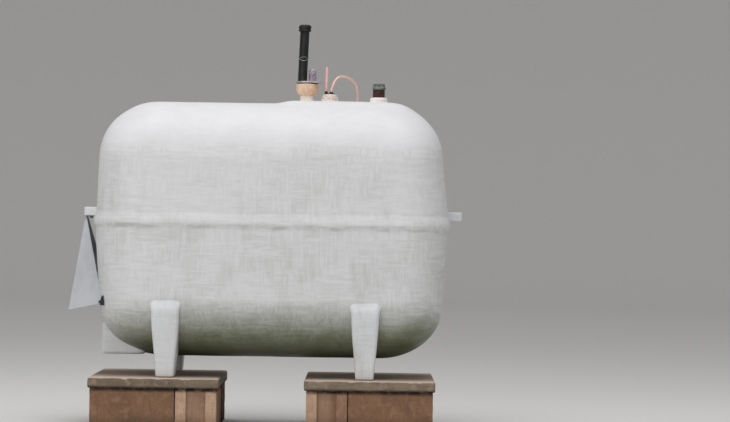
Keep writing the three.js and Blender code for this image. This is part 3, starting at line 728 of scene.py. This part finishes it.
# %% Where the belly is
SUNK = 3.0


def belly(points):
    """Height of the underside over each point. The level sections widen upwards, so the levels that still
    leave the point out are counted, and the last step is interpolated."""
    rise = np.linspace(LOWER["height"], 0, 320)
    half_x, half_y = span(LOWER, "along", rise), span(LOWER, "across", rise)
    corner = np.minimum(CORNER_RADIUS, half_y - 3)
    past_x = np.abs(points[..., :1]) - (half_x - corner)
    past_y = np.abs(points[..., 1:2]) - (half_y - corner)
    beyond = np.hypot(np.maximum(past_x, 0), np.maximum(past_y, 0))
    outside = beyond + np.minimum(np.maximum(past_x, past_y), 0) - corner
    level = np.clip((outside > 0).sum(axis=-1), 1, len(rise) - 1)
    here = np.take_along_axis(outside, level[..., None], -1)[..., 0]
    below = np.take_along_axis(outside, level[..., None] - 1, -1)[..., 0]
    share = np.clip(below / np.maximum(below - here, 1e-6), 0, 1)
    return SEAM_Z - (rise[level - 1] + share * (rise[level] - rise[level - 1]))


def grown_to_belly(section, foot, limit, rings=64):
    """A moulded column. Its top at each point around is found by halving steps between the section's
    place and the belly over it, and its end cap lies on the belly."""
    top = np.full(len(STEP), float(limit))
    for _ in range(40):
        top = (top + np.minimum(limit, belly(section(top)) + SUNK)) / 2
    grid = section(foot + np.linspace(0, 1, rings)[:, None] * (top - foot))
    middle = grid[-1].mean(axis=0)
    share = np.array([0.85, 0.6, 0.35, 0.1])[:, None, None]
    cap = middle + (grid[-1] - middle) * share
    cap[..., 2] = np.minimum(limit, belly(cap) + SUNK)
    return closed(np.vstack([grid, cap]))


def foot_edge(z, foot, radius):
    """How far a quarter circle draws a section in near its foot."""
    return radius - np.sqrt(radius**2 - np.clip(radius - (z - foot), 0, radius) ** 2)


# %% [markdown]
# A leg is given at a row of levels: its half width, which follows the photograph, and how far its front
# and its back are from the tank's middle. Between the levels it runs straight. The levels stand close
# together near the top, where the shoulder turns in, and the corners are rounder there, for a soft end.

# %% Four legs
SLAB_TOP = 240.0
LEG_TOP = 604.0
LEG_X = {"left": -481, "right": 443}
LEG_SHOULDER, LEG_FOOT_RADIUS = 556, 11
LEG_CORNER_SHARE = (0.31, 0.56)
LEG_LEVELS = [240, 300, 360, 420, 476, 520, 540, 552, 562, 571, 580, 588, 596, 604]
LEG_HALF = [42, 46.5, 52, 57.5, 62, 64, 65, 66.5, 69.5, 74, 81, 88, 92, 94]
LEG_FRONT = [325, 332, 339, 346, 352.5, 357.5, 359.8, 360, 358.2, 354.8, 350.2, 345.7, 342.3, 339.6]
LEG_BACK = [175, 170.5, 166, 161.5, 157, 154, 152, 150, 150, 150, 150, 150, 150, 150]


def leg_skin(x, side):
    """A leg on the front or rear side, -1 or 1. Above its foot, slow waves make its skin a little uneven."""
    def section(z):
        drawn = foot_edge(z, SLAB_TOP, LEG_FOOT_RADIUS)
        front, back = np.interp(z, LEG_LEVELS, LEG_FRONT), np.interp(z, LEG_LEVELS, LEG_BACK)
        half_x = np.interp(z, LEG_LEVELS, LEG_HALF) - drawn
        half_y = (front - back) / 2 - drawn
        corner = half_x * np.interp(z, (LEG_SHOULDER, LEG_TOP), LEG_CORNER_SHARE)
        return plan(half_x, half_y, corner, x, side * (front + back) / 2, z)

    points, quads, triangles = grown_to_belly(section, SLAB_TOP, LEG_TOP)
    clear = np.clip((points[:, 2:] - SLAB_TOP) / 40, 0, 1)
    return points + clear * waves(points, 160, 0.5, 12)[:, None] * np.array([1, 1, 0]), quads, triangles


for row, side in (("front", -1), ("rear", 1)):
    for end, x in LEG_X.items():
        show(f"leg_{row}_{end}_moulding", leg_skin(x, side), moulded_white, "fibreglass", f"leg_{row}_{end}")


# %% [markdown]
# The sump is a shallow box at the low end, where water and sludge gather, and its plug is a hex head on a
# washer. It grows into the belly as a leg does. A lug stands out from the lap at each end as a plain block
# with eased edges.

# %% Sump, plug and lugs
SUMP_LEFT, SUMP_RIGHT, SUMP_BOTTOM, SUMP_TOP = -797, -591, 335, 505
SUMP_HALF_DEPTH, SUMP_CORNER, SUMP_FOOT_RADIUS = 105, 22, 15
PLUG_Z = 390
LUG_X, LUG_Z = 846.5, 1005


def sump_section(z):
    """The sump's outline at a height. Near the top its left side leans in towards the tank."""
    drawn = foot_edge(z, SUMP_BOTTOM, SUMP_FOOT_RADIUS)
    left = np.interp(z, [SUMP_TOP - 20, SUMP_TOP], [SUMP_LEFT, SUMP_LEFT + 16]) + drawn
    right = SUMP_RIGHT - drawn
    return plan((right - left) / 2, SUMP_HALF_DEPTH - drawn, SUMP_CORNER, (left + right) / 2, 0, z)


sump = grown_to_belly(sump_section, SUMP_BOTTOM, SUMP_TOP)
show("sump_moulding", sump, moulded_white, "fibreglass", "outlet_sump")

UP_TO_LEFT = Matrix.Rotation(math.radians(-90), 4, "Y")
plug = together(
    moved(turned([[2, -3], [19, -3], [19, 4], [2, 4]]), (SUMP_LEFT - 0.5, 0, PLUG_Z), UP_TO_LEFT),
    moved(hexagon(22, 11), (SUMP_LEFT - 3.5, 0, PLUG_Z), UP_TO_LEFT),
)
show("sump_plug", plug, moulded_white, "fibreglass", "outlet_plug")

for name, side in (("left", -1), ("right", 1)):
    lug = slab_of(46.5, 55, LUG_Z - 20, LUG_Z + 20, 12, 4, side * LUG_X)
    show(f"lug_{name}_moulding", lug, moulded_white, "fibreglass", f"lug_{name}")

# %% [markdown]
# ## Vent and float gauge
# The vent's neck is moulded on the crown. A tan iron bell screws onto it and carries a zinc plate, on which
# stand the black vent pipe and the clear vial of the float gauge. The pipe leans, so its rings are sheared
# along X and its foot stays flat. Its threads show as fine ridges at both ends.

# %% Vent
DECK_TOP = 1541.0
VENT_X, PIPE_X, GAUGE_X = 151, 127, 175
BELL_BASE, PLATE_BASE, PLATE_TOP = 1568, 1624, 1636
LEAN = 0.0355

neck = [
    [1, 0], [42, 0], [40.5, 4], [35, 8], [33, 11], [33, 15], [30, 17.5], [33, 20], [33, 27], [31, 30],
    [1, 30],
]
show("vent_neck_moulding", turned(neck, VENT_X, DECK_TOP - 3, 2), lit_lichened_neck, "fibreglass", "vent_neck")

bell = [
    [1, -4], [29, -4], [30.5, 0], [38, 4], [46, 11], [51, 20], [52.5, 30], [52.5, 46], [53, 48], [53, 54],
    [51, 56], [1, 56],
]
show("vent_bell_casting", turned(bell, VENT_X, BELL_BASE, 3), tan_casting, "tan_iron", "vent_bell")

GASKET = 4.5
PLATE_MIDDLE = 162.5
SCREW_PLACES = ((53, 0), (4, -39), (4, 39))
# A black gasket under the plate: a dark sheet that stands for the shade under the plate's edge.
shade_gasket = slab_of(51, 48, PLATE_BASE, PLATE_BASE + GASKET, 46, 2, VENT_X)
show("vent_plate_shade_gasket", shade_gasket, black_plastic, "black_steel")
screws = [hexagon(9, 4, PLATE_MIDDLE + x, y, PLATE_TOP - 0.2) for x, y in SCREW_PLACES]
plate = together(slab_of(66.5, 50, PLATE_BASE + GASKET, PLATE_TOP, 48, 1.2, PLATE_MIDDLE), *screws)
show("vent_plate_steel", plate, plate_steel, "grey_sheet", "vent_plate")


def threads(first, last, radius, depth=0.7, pitch=2.6):
    """A profile's zigzag between two heights: the radius falls by depth halfway through each pitch."""
    height = np.arange(first, last, pitch / 2)
    return np.stack([radius - depth * (np.arange(len(height)) % 2), height], axis=-1).tolist()


pipe = [
    [1, 0], [21, 0], *threads(1, 22, 22), [21.8, 24], [21.8, 222], *threads(224, 236, 22), [21, 247],
    [1, 247],
]
pipe_skin = turned(pipe, PIPE_X, PLATE_TOP, 0.5, lean=LEAN)
show("vent_pipe_iron", pipe_skin, black_pipe, "black_steel", "vent_pipe")

cap = [
    [1, 247.5], [22.5, 247.5], [22.5, 238], [28, 237], [29.3, 239], [29.3, 245], [27.6, 247], [27.6, 250],
    [29.5, 252], [29.5, 261], [27.5, 265], [23, 267], [22, 269], [1, 269],
]
cap_skin = turned(cap, PIPE_X, PLATE_TOP, 1, 144, LEAN, flutes=36, flute_depth=0.008)
show("vent_cap_iron", cap_skin, black_pipe, "black_steel", "vent_cap")

# %% [markdown]
# A thin galvanised wire is wound twice round the pipe, and its turns cross. The path is a circle whose
# radius and height swing as it goes round, so that one turn lies over the other where they meet, and a
# small circle is carried along it.

# %% Wire tie on the vent pipe
WIRE_RADIUS = 0.9
TIE_Z = 1743
turn = np.linspace(0, 4 * np.pi, 160, endpoint=False)
tie_radius = 22.4 + 1.2 * (1 + np.cos(turn / 2))
tie_z = TIE_Z + 9 * np.sin(1.5 * turn + 0.6)
tie_x = PIPE_X + LEAN * (tie_z - PLATE_TOP)
tie = np.stack([tie_x + tie_radius * np.cos(turn), tie_radius * np.sin(turn), tie_z], axis=-1)
show("vent_pipe_tie", swept(tie, WIRE_RADIUS, (0, 0, 1), 10, looped=True), bright_wire, "zinc")

# %% [markdown]
# The gauge is a clear vial with a red disc in it, on a stem that a float in the tank lifts. The vial's
# profile goes up inside and comes down outside, so the plastic is 2.5 mm thick and closed at its dome.

# %% Float gauge
vial = [
    [1, 58.4], [9, 58], [15, 53], [16.5, 47], [16.5, 0.4], [19, 0.4], [19, 49], [17, 55], [11, 60], [1, 61],
]
show("gauge_vial_plastic", turned(vial, GAUGE_X, PLATE_TOP, 3), vial_plastic, "clear_plastic", "gauge_vial")
float_stem = [[1, 0], [3, 0], [3, 27], [12, 28], [13, 30], [13, 35], [11, 36], [1, 36]]
float_skin = turned(float_stem, GAUGE_X, PLATE_TOP + 0.4, 1)
show("gauge_float_disc", float_skin, red_float, "red_float", "gauge_float")

# %% [markdown]
# ## Burner line
# The burner's oil leaves through a bushing in its own boss. Two nuts sit on the bushing: one holds a thin
# coated rod, and from the other a soft copper tube arches over and drops behind the back shoulder to a
# union. The tube is a circle carried along a smooth curve through the same points as in the CAD model.

# %% Boss, bushing and rod
BOSS_X, BOSS_TOP = 258, 1578
ROD_X, LINE_X = 241, 266
boss = [
    [1, 0], [45, 0], [44.5, 5], [42.5, 8], [42.5, 13], [40.5, 15.5], [41.5, 18], [39, 23], [36.5, 25],
    [37, 28], [33, 33], [27.5, 39], [1, 40],
]
show("line_boss_moulding", turned(boss, BOSS_X, BOSS_TOP - 40, 2), lichened_boss, "fibreglass", "line_boss")
bushing = together(
    turned([[1, 0], [24, 0], [24, 3], [1, 3]], BOSS_X, BOSS_TOP, 0.8),
    hexagon(14, 10.2, ROD_X, 0, BOSS_TOP + 2.8),
    hexagon(17, 7.2, LINE_X, 0, BOSS_TOP + 2.8),
)
show("line_bushing_nuts", bushing, dark_nut, "black_steel", "line_bushing")
rod = [[1, 0], [4.8, 0], [5, 30], [5.7, 70], [6, 106], [4.5, 112.5], [1, 114]]
rod_skin = turned(rod, ROD_X, BOSS_TOP + 13, 2, 24, lean=0.02)
show("gauge_rod_coated", rod_skin, pink_coating, "pink_rod", "gauge_rod")

# %% [markdown]
# The copper line is soft tube, bent by hand, so its route is given as a list of points. A cubic curve
# takes them in turn without a kink, and keeps its speed even where points stand close together.

# %% Copper line and union
def smooth_path(points, samples):
    """A cubic Hermite curve through points. Its time is the chord length so far, and each point's
    direction comes from its neighbours on both sides."""
    points = np.array(points, float)
    time = np.concatenate([[0], np.cumsum(np.linalg.norm(np.diff(points, axis=0), axis=1))])
    slope = np.gradient(points, time, axis=0)
    at = np.linspace(0, time[-1], samples)
    k = np.clip(np.searchsorted(time, at, "right") - 1, 0, len(points) - 2)
    width = (time[k + 1] - time[k])[:, None]
    t = (at - time[k])[:, None] / width
    from_first = (2 * t**3 - 3 * t**2 + 1) * points[k] + (t**3 - 2 * t**2 + t) * width * slope[k]
    return from_first + (3 * t**2 - 2 * t**3) * points[k + 1] + (t**3 - t**2) * width * slope[k + 1]


LINE_RADIUS = 5.6
UNION_PLACE = (390, 360, 1228)
route = [
    (LINE_X, 0, 1586), (LINE_X, 0, 1595), (273, 2, 1618), (285, 12, 1646), (302, 30, 1661), (324, 52, 1664),
    (346, 75, 1659), (366, 98, 1648), (381, 118, 1631), (388, 145, 1606), (390, 200, 1545),
    (390, 250, 1480), (390, 300, 1418), (390, 342, 1352), (390, 358, 1298), (390, 360, 1265),
]
line = swept(smooth_path(route, 150), LINE_RADIUS, (1, -0.5, 0))
show("supply_line_tube", line, dull_copper, "copper", "supply_line")
union = together(
    hexagon(17, 13, base=26),
    turned([[1, 0], [7.5, 0], [7.5, 10], [1, 10]], base=18),
    hexagon(19.5, 19),
)
show("supply_line_union", moved(union, UNION_PLACE), turned_brass, "brass", "line_union")

# %% [markdown]
# ## Fill
# Oil goes in through a short threaded iron pipe in a moulded collar, closed by a dark green cap with a
# gripping rim.

# %% Fill
FILL_X = 491
collar = [[1, 0], [44, 0], [42.5, 4], [41.5, 8], [41.5, 17], [39.5, 22], [36, 25.5], [33, 26], [1, 26]]
collar_skin = turned(collar, FILL_X, DECK_TOP - 3, 3)
show("fill_collar_moulding", collar_skin, clean_collar, "fibreglass", "fill_collar")
stub = [[1, 0], [28, 0], *threads(2, 36, 28.6, 0.9, 3.2), [28, 38], [1, 38]]
show("fill_pipe_iron", turned(stub, FILL_X, DECK_TOP + 23, 0.5), brown_pipe, "black_steel", "fill_pipe")
lid = [
    [1, 0], [31.5, 0], [32.5, 1.5], [32.5, 9], [31, 11.5], [28.5, 13], [28.5, 23.5], [26.8, 26.5], [23, 28],
    [21.5, 27.2], [1, 28],
]
lid_skin = turned(lid, FILL_X, DECK_TOP + 61, 1, 144, flutes=48, flute_depth=0.006)
show("fill_cap_lid", lid_skin, green_cap, "green_plastic", "fill_cap")

# %% [markdown]
# ## Hood and clips
# The hood is one sheet, folded twice: a sloped face that widens downwards, and two cheeks that reach back
# to the tank. At each level its section is a wide U with rounded folds, and the sheet gets its 3 mm inwards
# along its own normals. Its top folds back into a flange, bolted under the left lug.

# %% Folded hood
def thick_sheet(face, thickness):
    """A sheet from a grid that stays open: out along the face, and back along the same grid moved by the
    thickness against its normals. The strips at its two ends close between face and back."""
    along, across = np.gradient(face, axis=0), np.gradient(face, axis=1)
    back = face + thickness * unit(np.cross(across, along))
    loop = np.concatenate([face, back[:, ::-1]], axis=1)
    rings, columns = loop.shape[:2]
    index = np.arange(rings * columns).reshape(rings, columns)
    beside = np.roll(index, -1, axis=1)
    sides = np.stack([index[:-1], beside[:-1], beside[1:], index[1:]], axis=-1).reshape(-1, 4)
    half = columns // 2
    strip = np.arange(half - 1)
    ends = [
        np.stack([row[strip], row[columns - 1 - strip], row[columns - 2 - strip], row[strip + 1]], axis=-1)
        for row in (index[0], index[-1])
    ]
    quads = np.vstack([sides, ends[0], ends[1][:, ::-1]])
    return outward(loop.reshape(-1, 3), quads, np.empty((0, 3), int))


def run(start, end, shares):
    """Points on straight lines between two columns of points: start + (end - start) * share."""
    return start + (end - start) * shares[:, None]


HOOD_TOP = 984.7
HOOD_SHEET = 3
FOLD = 5.0
CHEEK_Y = 235
FLANGE_X = -864
MIRROR = np.array([1, -1, 1])
# The front fold and the cheek's back edge, each from its top to its bottom.
down = np.linspace(0, 1, 40)[:, None]
fold_line = run(np.array([[[-890, 35, HOOD_TOP]]]), np.array([[[-942, CHEEK_Y, 542]]]), down)
back_line = run(np.array([[[-884, 35, HOOD_TOP]]]), np.array([[[-781, CHEEK_Y, 577]]]), down)
to_back = unit(back_line - fold_line) * FOLD
to_front = np.array([0, -FOLD, 0])
cheek = run(back_line, fold_line + to_back, np.linspace(0, 1, 16))
t = np.linspace(0, 1, 8)[1:-1, None]
bend = (1 - t) ** 2 * (fold_line + to_back) + 2 * t * (1 - t) * fold_line + t**2 * (fold_line + to_front)
front = run(fold_line + to_front, (fold_line + to_front) * MIRROR, np.linspace(0, 1, 24))
face = np.concatenate([cheek, bend, front, bend[:, ::-1] * MIRROR, cheek[:, ::-1] * MIRROR], axis=1)
flange = slab_of(26, 34, HOOD_TOP - HOOD_SHEET, HOOD_TOP, 3, 0.8, FLANGE_X)
hood = together(thick_sheet(face, HOOD_SHEET), flange)
show("filter_hood_sheet", hood, hood_sheet, "grey_sheet", "filter_hood", crisp=25)

for name, side in (("front", -1), ("rear", 1)):
    washer = slab_of(9, 9, 0, 1.4, 8.8, 0.4)
    stud = turned([[1, 0], [4, 0], [4, 4], [1, 4]], base=6, ease=0.8, columns=32)
    bolt = together(washer, hexagon(13, 6, base=1.2), stud)
    bolt = moved(bolt, (FLANGE_X, side * 20, HOOD_TOP - HOOD_SHEET), Matrix.Rotation(math.pi, 4, "X"))
    show(f"hood_bolt_{name}_head", bolt, zinc_bolt, "zinc", f"hood_bolt_{name}")

# %% [markdown]
# A black plastic clip holds each cheek's lower corner to the tank. From the front it is a small hooked
# outline, and it is as thick as a finger. So the outline is drawn once and carried outwards, a little
# smaller at both faces for their eased edges.

# %% Hood clips
CLIP_OUTLINE = [
    (-780, 590), (-782, 602), (-783, 613), (-789, 604), (-791, 592), (-803, 583), (-797, 577), (-792, 576),
    (-794, 567), (-778, 567), (-780, 590),
]
CLIP_WIDTH = 14


def clip_skin(side):
    """The clip's outline carried outwards from the cheek. It shrinks a little at both faces, and slides
    along X so that its inner edge follows the tank's rounded corner."""
    outline = eased(CLIP_OUTLINE, 2.5, 4)[:-1]
    middle = outline.mean(axis=0)
    share = np.array([0.85, 1, 1, 0.85])[:, None, None]
    depth = np.array([0, 1.5, CLIP_WIDTH - 1.5, CLIP_WIDTH])[:, None, None]
    flat = middle + (outline - middle) * share
    out = np.broadcast_to(side * (CHEEK_Y + 0.5 + depth), flat[..., :1].shape)
    return closed(np.concatenate([flat[..., :1] + 0.5 * depth, out, flat[..., 1:]], axis=-1))


for name, side in (("front", -1), ("rear", 1)):
    show(f"hood_clip_{name}_hook", clip_skin(side), black_plastic, "black_steel", f"hood_clip_{name}")

# %% [markdown]
# ## Filter
# Under such a hood sits a canister filter. A zinc bracket holds its cast head off the end wall. The head
# has a port at each side, and the black bowl is drawn from sheet with a rolled rim and a drain nut.

# %% Filter
FILTER_X, FILTER_Z = -868, 730
BRACKET_X, BRACKET_PLATE = -812, 9
UP_TO_FRONT = Matrix.Rotation(math.radians(90), 4, "X")
bracket = together(
    moved(slab_of(45, 40, 0, BRACKET_PLATE, 8, 1), (BRACKET_X, 0, FILTER_Z), UP_TO_LEFT),
    slab_of(9, 15, FILTER_Z - 10, FILTER_Z + 10, 3, 1.5, BRACKET_X - 12),
    moved(hexagon(13, 6), (BRACKET_X - BRACKET_PLATE, 0, FILTER_Z + 30), UP_TO_LEFT),
    moved(hexagon(13, 6), (BRACKET_X - BRACKET_PLATE, 0, FILTER_Z - 30), UP_TO_LEFT),
)
show("filter_bracket_plate", bracket, zinc_bolt, "zinc", "filter_bracket")
casting = [[1, 0], [33, 0], [35, 3], [35, 19], [31, 26], [16, 28], [14, 30], [1, 30]]
head = together(
    turned(casting, FILTER_X, FILTER_Z - 15, 2),
    moved(hexagon(20, 36), (FILTER_X, 55, FILTER_Z), UP_TO_FRONT),
    moved(hexagon(20, 36), (FILTER_X, -19, FILTER_Z), UP_TO_FRONT),
)
show("filter_head_casting", head, cast_alloy, "cast_aluminium", "filter_head")
bowl = [
    [1, 0], [8, 0], [8, 5], [18, 6], [26, 9], [30.5, 17], [30.5, 95], [33.5, 97], [34, 101], [32, 104],
    [1, 104.5],
]
bowl_skin = turned(bowl, FILTER_X, FILTER_Z - 120, 2)
show("filter_bowl_drawn", bowl_skin, black_enamel, "black_steel", "filter_bowl")

# %% [markdown]
# ## Block piers
# Each pier is four hollow blocks in a loose pinwheel under a cast slab. A block has two cores right through
# it and a recess between ears at each end. That is easiest as a lattice of small boxes: a face is made
# wherever a filled box meets an empty one. The points then shift by smooth waves, and the slab's edges are
# chipped, because cast concrete that has been moved about is never straight.

# %% Lattice of boxes
def ruled(marks, step):
    """Lines through every mark, with evenly spaced ones no further apart than about a step between them."""
    spans = [
        np.linspace(a, b, max(1, round((b - a) / step)), endpoint=False) for a, b in zip(marks, marks[1:])
    ]
    return np.append(np.concatenate(spans), marks[-1])


def from_boxes(lines, filled):
    """Faces between filled and empty boxes of a lattice, one axis at a time, each wound so that it looks
    from the filled side to the empty one."""
    shape = [len(line) for line in lines]
    lattice = np.stack(np.meshgrid(*lines, indexing="ij"), axis=-1).reshape(-1, 3)
    number = np.arange(len(lattice)).reshape(shape)
    filled = np.pad(filled, 1)
    faces = []
    for axis in range(3):
        order = np.roll(range(3), -axis)
        inner = np.transpose(filled, order)[:, 1:-1, 1:-1]
        corner = np.transpose(number, order)
        around = [corner[:, :-1, :-1], corner[:, 1:, :-1], corner[:, 1:, 1:], corner[:, :-1, 1:]]
        quad = np.stack(around, axis=-1)
        faces.append(quad[inner[:-1] & ~inner[1:]])
        faces.append(quad[~inner[:-1] & inner[1:]][:, ::-1])
    quads = np.vstack(faces)
    used, quads = np.unique(quads, return_inverse=True)
    return lattice[used], quads.reshape(-1, 4), np.empty((0, 3), int)


def rough_cast(skin, seed):
    """Shifts a skin's points along each axis by smooth waves of a few centimetres and less than a
    millimetre. No point goes below the ground."""
    points, quads, triangles = skin
    shift = [waves(points, 60, 0.5, seed + k) + waves(points, 22, 0.25, seed + 9 + k) for k in range(3)]
    points = points + np.stack(shift, axis=-1) * (1, 1, 0.3)
    points[:, 2] = np.maximum(points[:, 2], 0)
    return points, quads, triangles


# %% [markdown]
# A block is the common 390 by 190 by 190 mm size, and a slab is about 24 by 30 by 2 inches. In each
# pier one block of a pair lies along the tank and shows its face, and the other lies across it and shows
# its end. The rear pair is the front pair turned by half a turn about the pier's middle.

# %% Blocks and slabs
BLOCK, BLOCK_WIDTH, BLOCK_JOINT = 390, 190, 4
BLOCK_SET_BACK = 11
CORE_WALL, EAR, RECESS = 35, 50, 15
SLAB = (606, 762, 50)
SLAB_CHIPS = 3.0


def block_skin():
    """A hollow block lying along X: full but for two cores and a recess between the ears at each end."""
    end, side = BLOCK / 2, BLOCK_WIDTH / 2
    core_end, core_side, web = end - RECESS - CORE_WALL, side - CORE_WALL, CORE_WALL / 2
    lines = [
        ruled([-end, RECESS - end, -core_end, -web, web, core_end, end - RECESS, end], 11),
        ruled([-side, -core_side, EAR - side, side - EAR, core_side, side], 11),
        ruled([0, BLOCK_WIDTH], 11),
    ]
    x, y, z = np.meshgrid(*[(line[:-1] + line[1:]) / 2 for line in lines], indexing="ij")
    core = (np.abs(x) > web) & (np.abs(x) < core_end) & (np.abs(y) < core_side)
    recess = (np.abs(x) > end - RECESS) & (np.abs(y) < side - EAR)
    return from_boxes(lines, ~(core | recess))


def slab_skin(x, seed):
    """A slab whose edges are chipped: near two faces at once, a point moves inwards by a field of waves
    that is cut off below, and fades within a few millimetres."""
    halves = np.array(SLAB) / 2
    lines = [np.concatenate([[-h, 4 - h], ruled([12 - h, h - 12], 13), [h - 4, h]]) for h in halves]
    points, quads, triangles = from_boxes(lines, np.ones([len(line) - 1 for line in lines], bool))
    depth = halves - np.abs(points)
    nearest = np.sort(depth, axis=-1)[:, :2].sum(axis=-1)
    points = points + (x, 0, BLOCK_WIDTH + halves[2])
    chips = np.clip(waves(points, 45, 1.0, seed) + waves(points, 16, 0.5, seed + 1) - 0.25, 0, 1.3)
    inwards = -np.sign(points - (x, 0, BLOCK_WIDTH + halves[2])) * (depth < 9)
    worn = (2.6 + SLAB_CHIPS * chips) * np.exp(-nearest / 6)
    return points + inwards * worn[:, None], quads, triangles


pair = BLOCK + BLOCK_JOINT + BLOCK_WIDTH
front_edge = BLOCK_SET_BACK - SLAB[1] / 2
# Each pier has its slab's middle, the side of the front pair on which the end-on block stands, and a seed.
for pier, slab_x, end_on, seed in (("left", -529, 1, 20), ("right", 468, -1, 50)):
    slab = rough_cast(slab_skin(slab_x, seed), seed)
    show(f"slab_{pier}_cast", slab, slab_concrete, "concrete_slab", f"slab_{pier}", worn_edge=1.5)
    for row, half_turn in (("front", 1), ("rear", -1)):
        for lay, degrees, finish, x, y in (
            ("along", 0, stained_block, -end_on * (pair - BLOCK) / 2, front_edge + BLOCK_WIDTH / 2),
            ("across", 90, pale_block, end_on * (pair - BLOCK_WIDTH) / 2, front_edge + BLOCK / 2),
        ):
            seed += 3
            shift = (slab_x + half_turn * x, half_turn * y, 0)
            laid = moved(block_skin(), shift, Matrix.Rotation(math.radians(degrees), 4, "Z"))
            block = rough_cast(laid, seed)
            node = f"block_{pier}_{row}_{lay}"
            show(f"{node}_cast", block, finish, "stained_block", node, worn_edge=2.5)

# %% [markdown]
# ## Stage and light
# The floor and the light are a studio's: pale, plain and soft. The floor bends up into a wall all round,
# far from the tank, so no edge shows from any side. One broad panel hangs overhead, as the overcast sky
# does in the photograph, and a weaker one lights the front. The Standard view shows colours as they are.

# %% Stage and light
floor_finish, _, shader, _ = begin("studio floor")
shader.inputs["Base Color"].default_value = linear("#E2E1DE")
shader.inputs["Roughness"].default_value = 0.9
FLAT, BEND, RISE = 20.0, 5.0, 8.0
turn = np.radians(np.linspace(0, 90, 24))
reach = np.concatenate([[0.01, 6, 12], FLAT + BEND * np.sin(turn), [FLAT + BEND]])
level = np.concatenate([[0, 0, 0], BEND * (1 - np.cos(turn)), [RISE]])
angle = np.linspace(0, 2 * np.pi, 96, endpoint=False)[:, None]
cove = np.stack(np.broadcast_arrays(reach * np.cos(angle), reach * np.sin(angle), level), axis=-1)
index = np.arange(cove[..., 0].size).reshape(cove.shape[:2])
beside = np.roll(index, -1, axis=0)
faces = np.stack([index[:, :-1], index[:, 1:], beside[:, 1:], beside[:, :-1]], axis=-1).reshape(-1, 4)
floor_mesh = bpy.data.meshes.new("studio_floor")
floor_mesh.from_pydata(cove.reshape(-1, 3).tolist(), [], faces.tolist() + [index[:, 0].tolist()])
floor_mesh.shade_smooth()
floor_mesh.materials.append(floor_finish)
floor = bpy.data.objects.new("studio_floor", floor_mesh)
bpy.context.scene.collection.objects.link(floor)
print("floor faces:", len(faces) + 1)

world = bpy.data.worlds.new("studio")
bpy.context.scene.world = world
world.use_nodes = True
world.node_tree.nodes["Background"].inputs["Color"].default_value = linear("#ECECEE")
world.node_tree.nodes["Background"].inputs["Strength"].default_value = 0.5


def panel(name, size, power, place, target):
    """A square area light at a place, facing a target."""
    light = bpy.data.lights.new(name, "AREA")
    light.size = size
    light.energy = power
    lamp = bpy.data.objects.new(name, light)
    heading = Vector(target) - Vector(place)
    lamp.matrix_world = Matrix.Translation(place) @ heading.to_track_quat("-Z", "Y").to_matrix().to_4x4()
    bpy.context.scene.collection.objects.link(lamp)


TANK_HEART = (0, 0, 0.8)
panel("sky panel", 6, 238, (-0.35, -1.5, 6.5), TANK_HEART)
panel("front panel", 5, 150, (-3.5, -9, 3.2), TANK_HEART)
print("lights:", len(bpy.data.lights))

bpy.context.scene.view_settings.view_transform = "Standard"
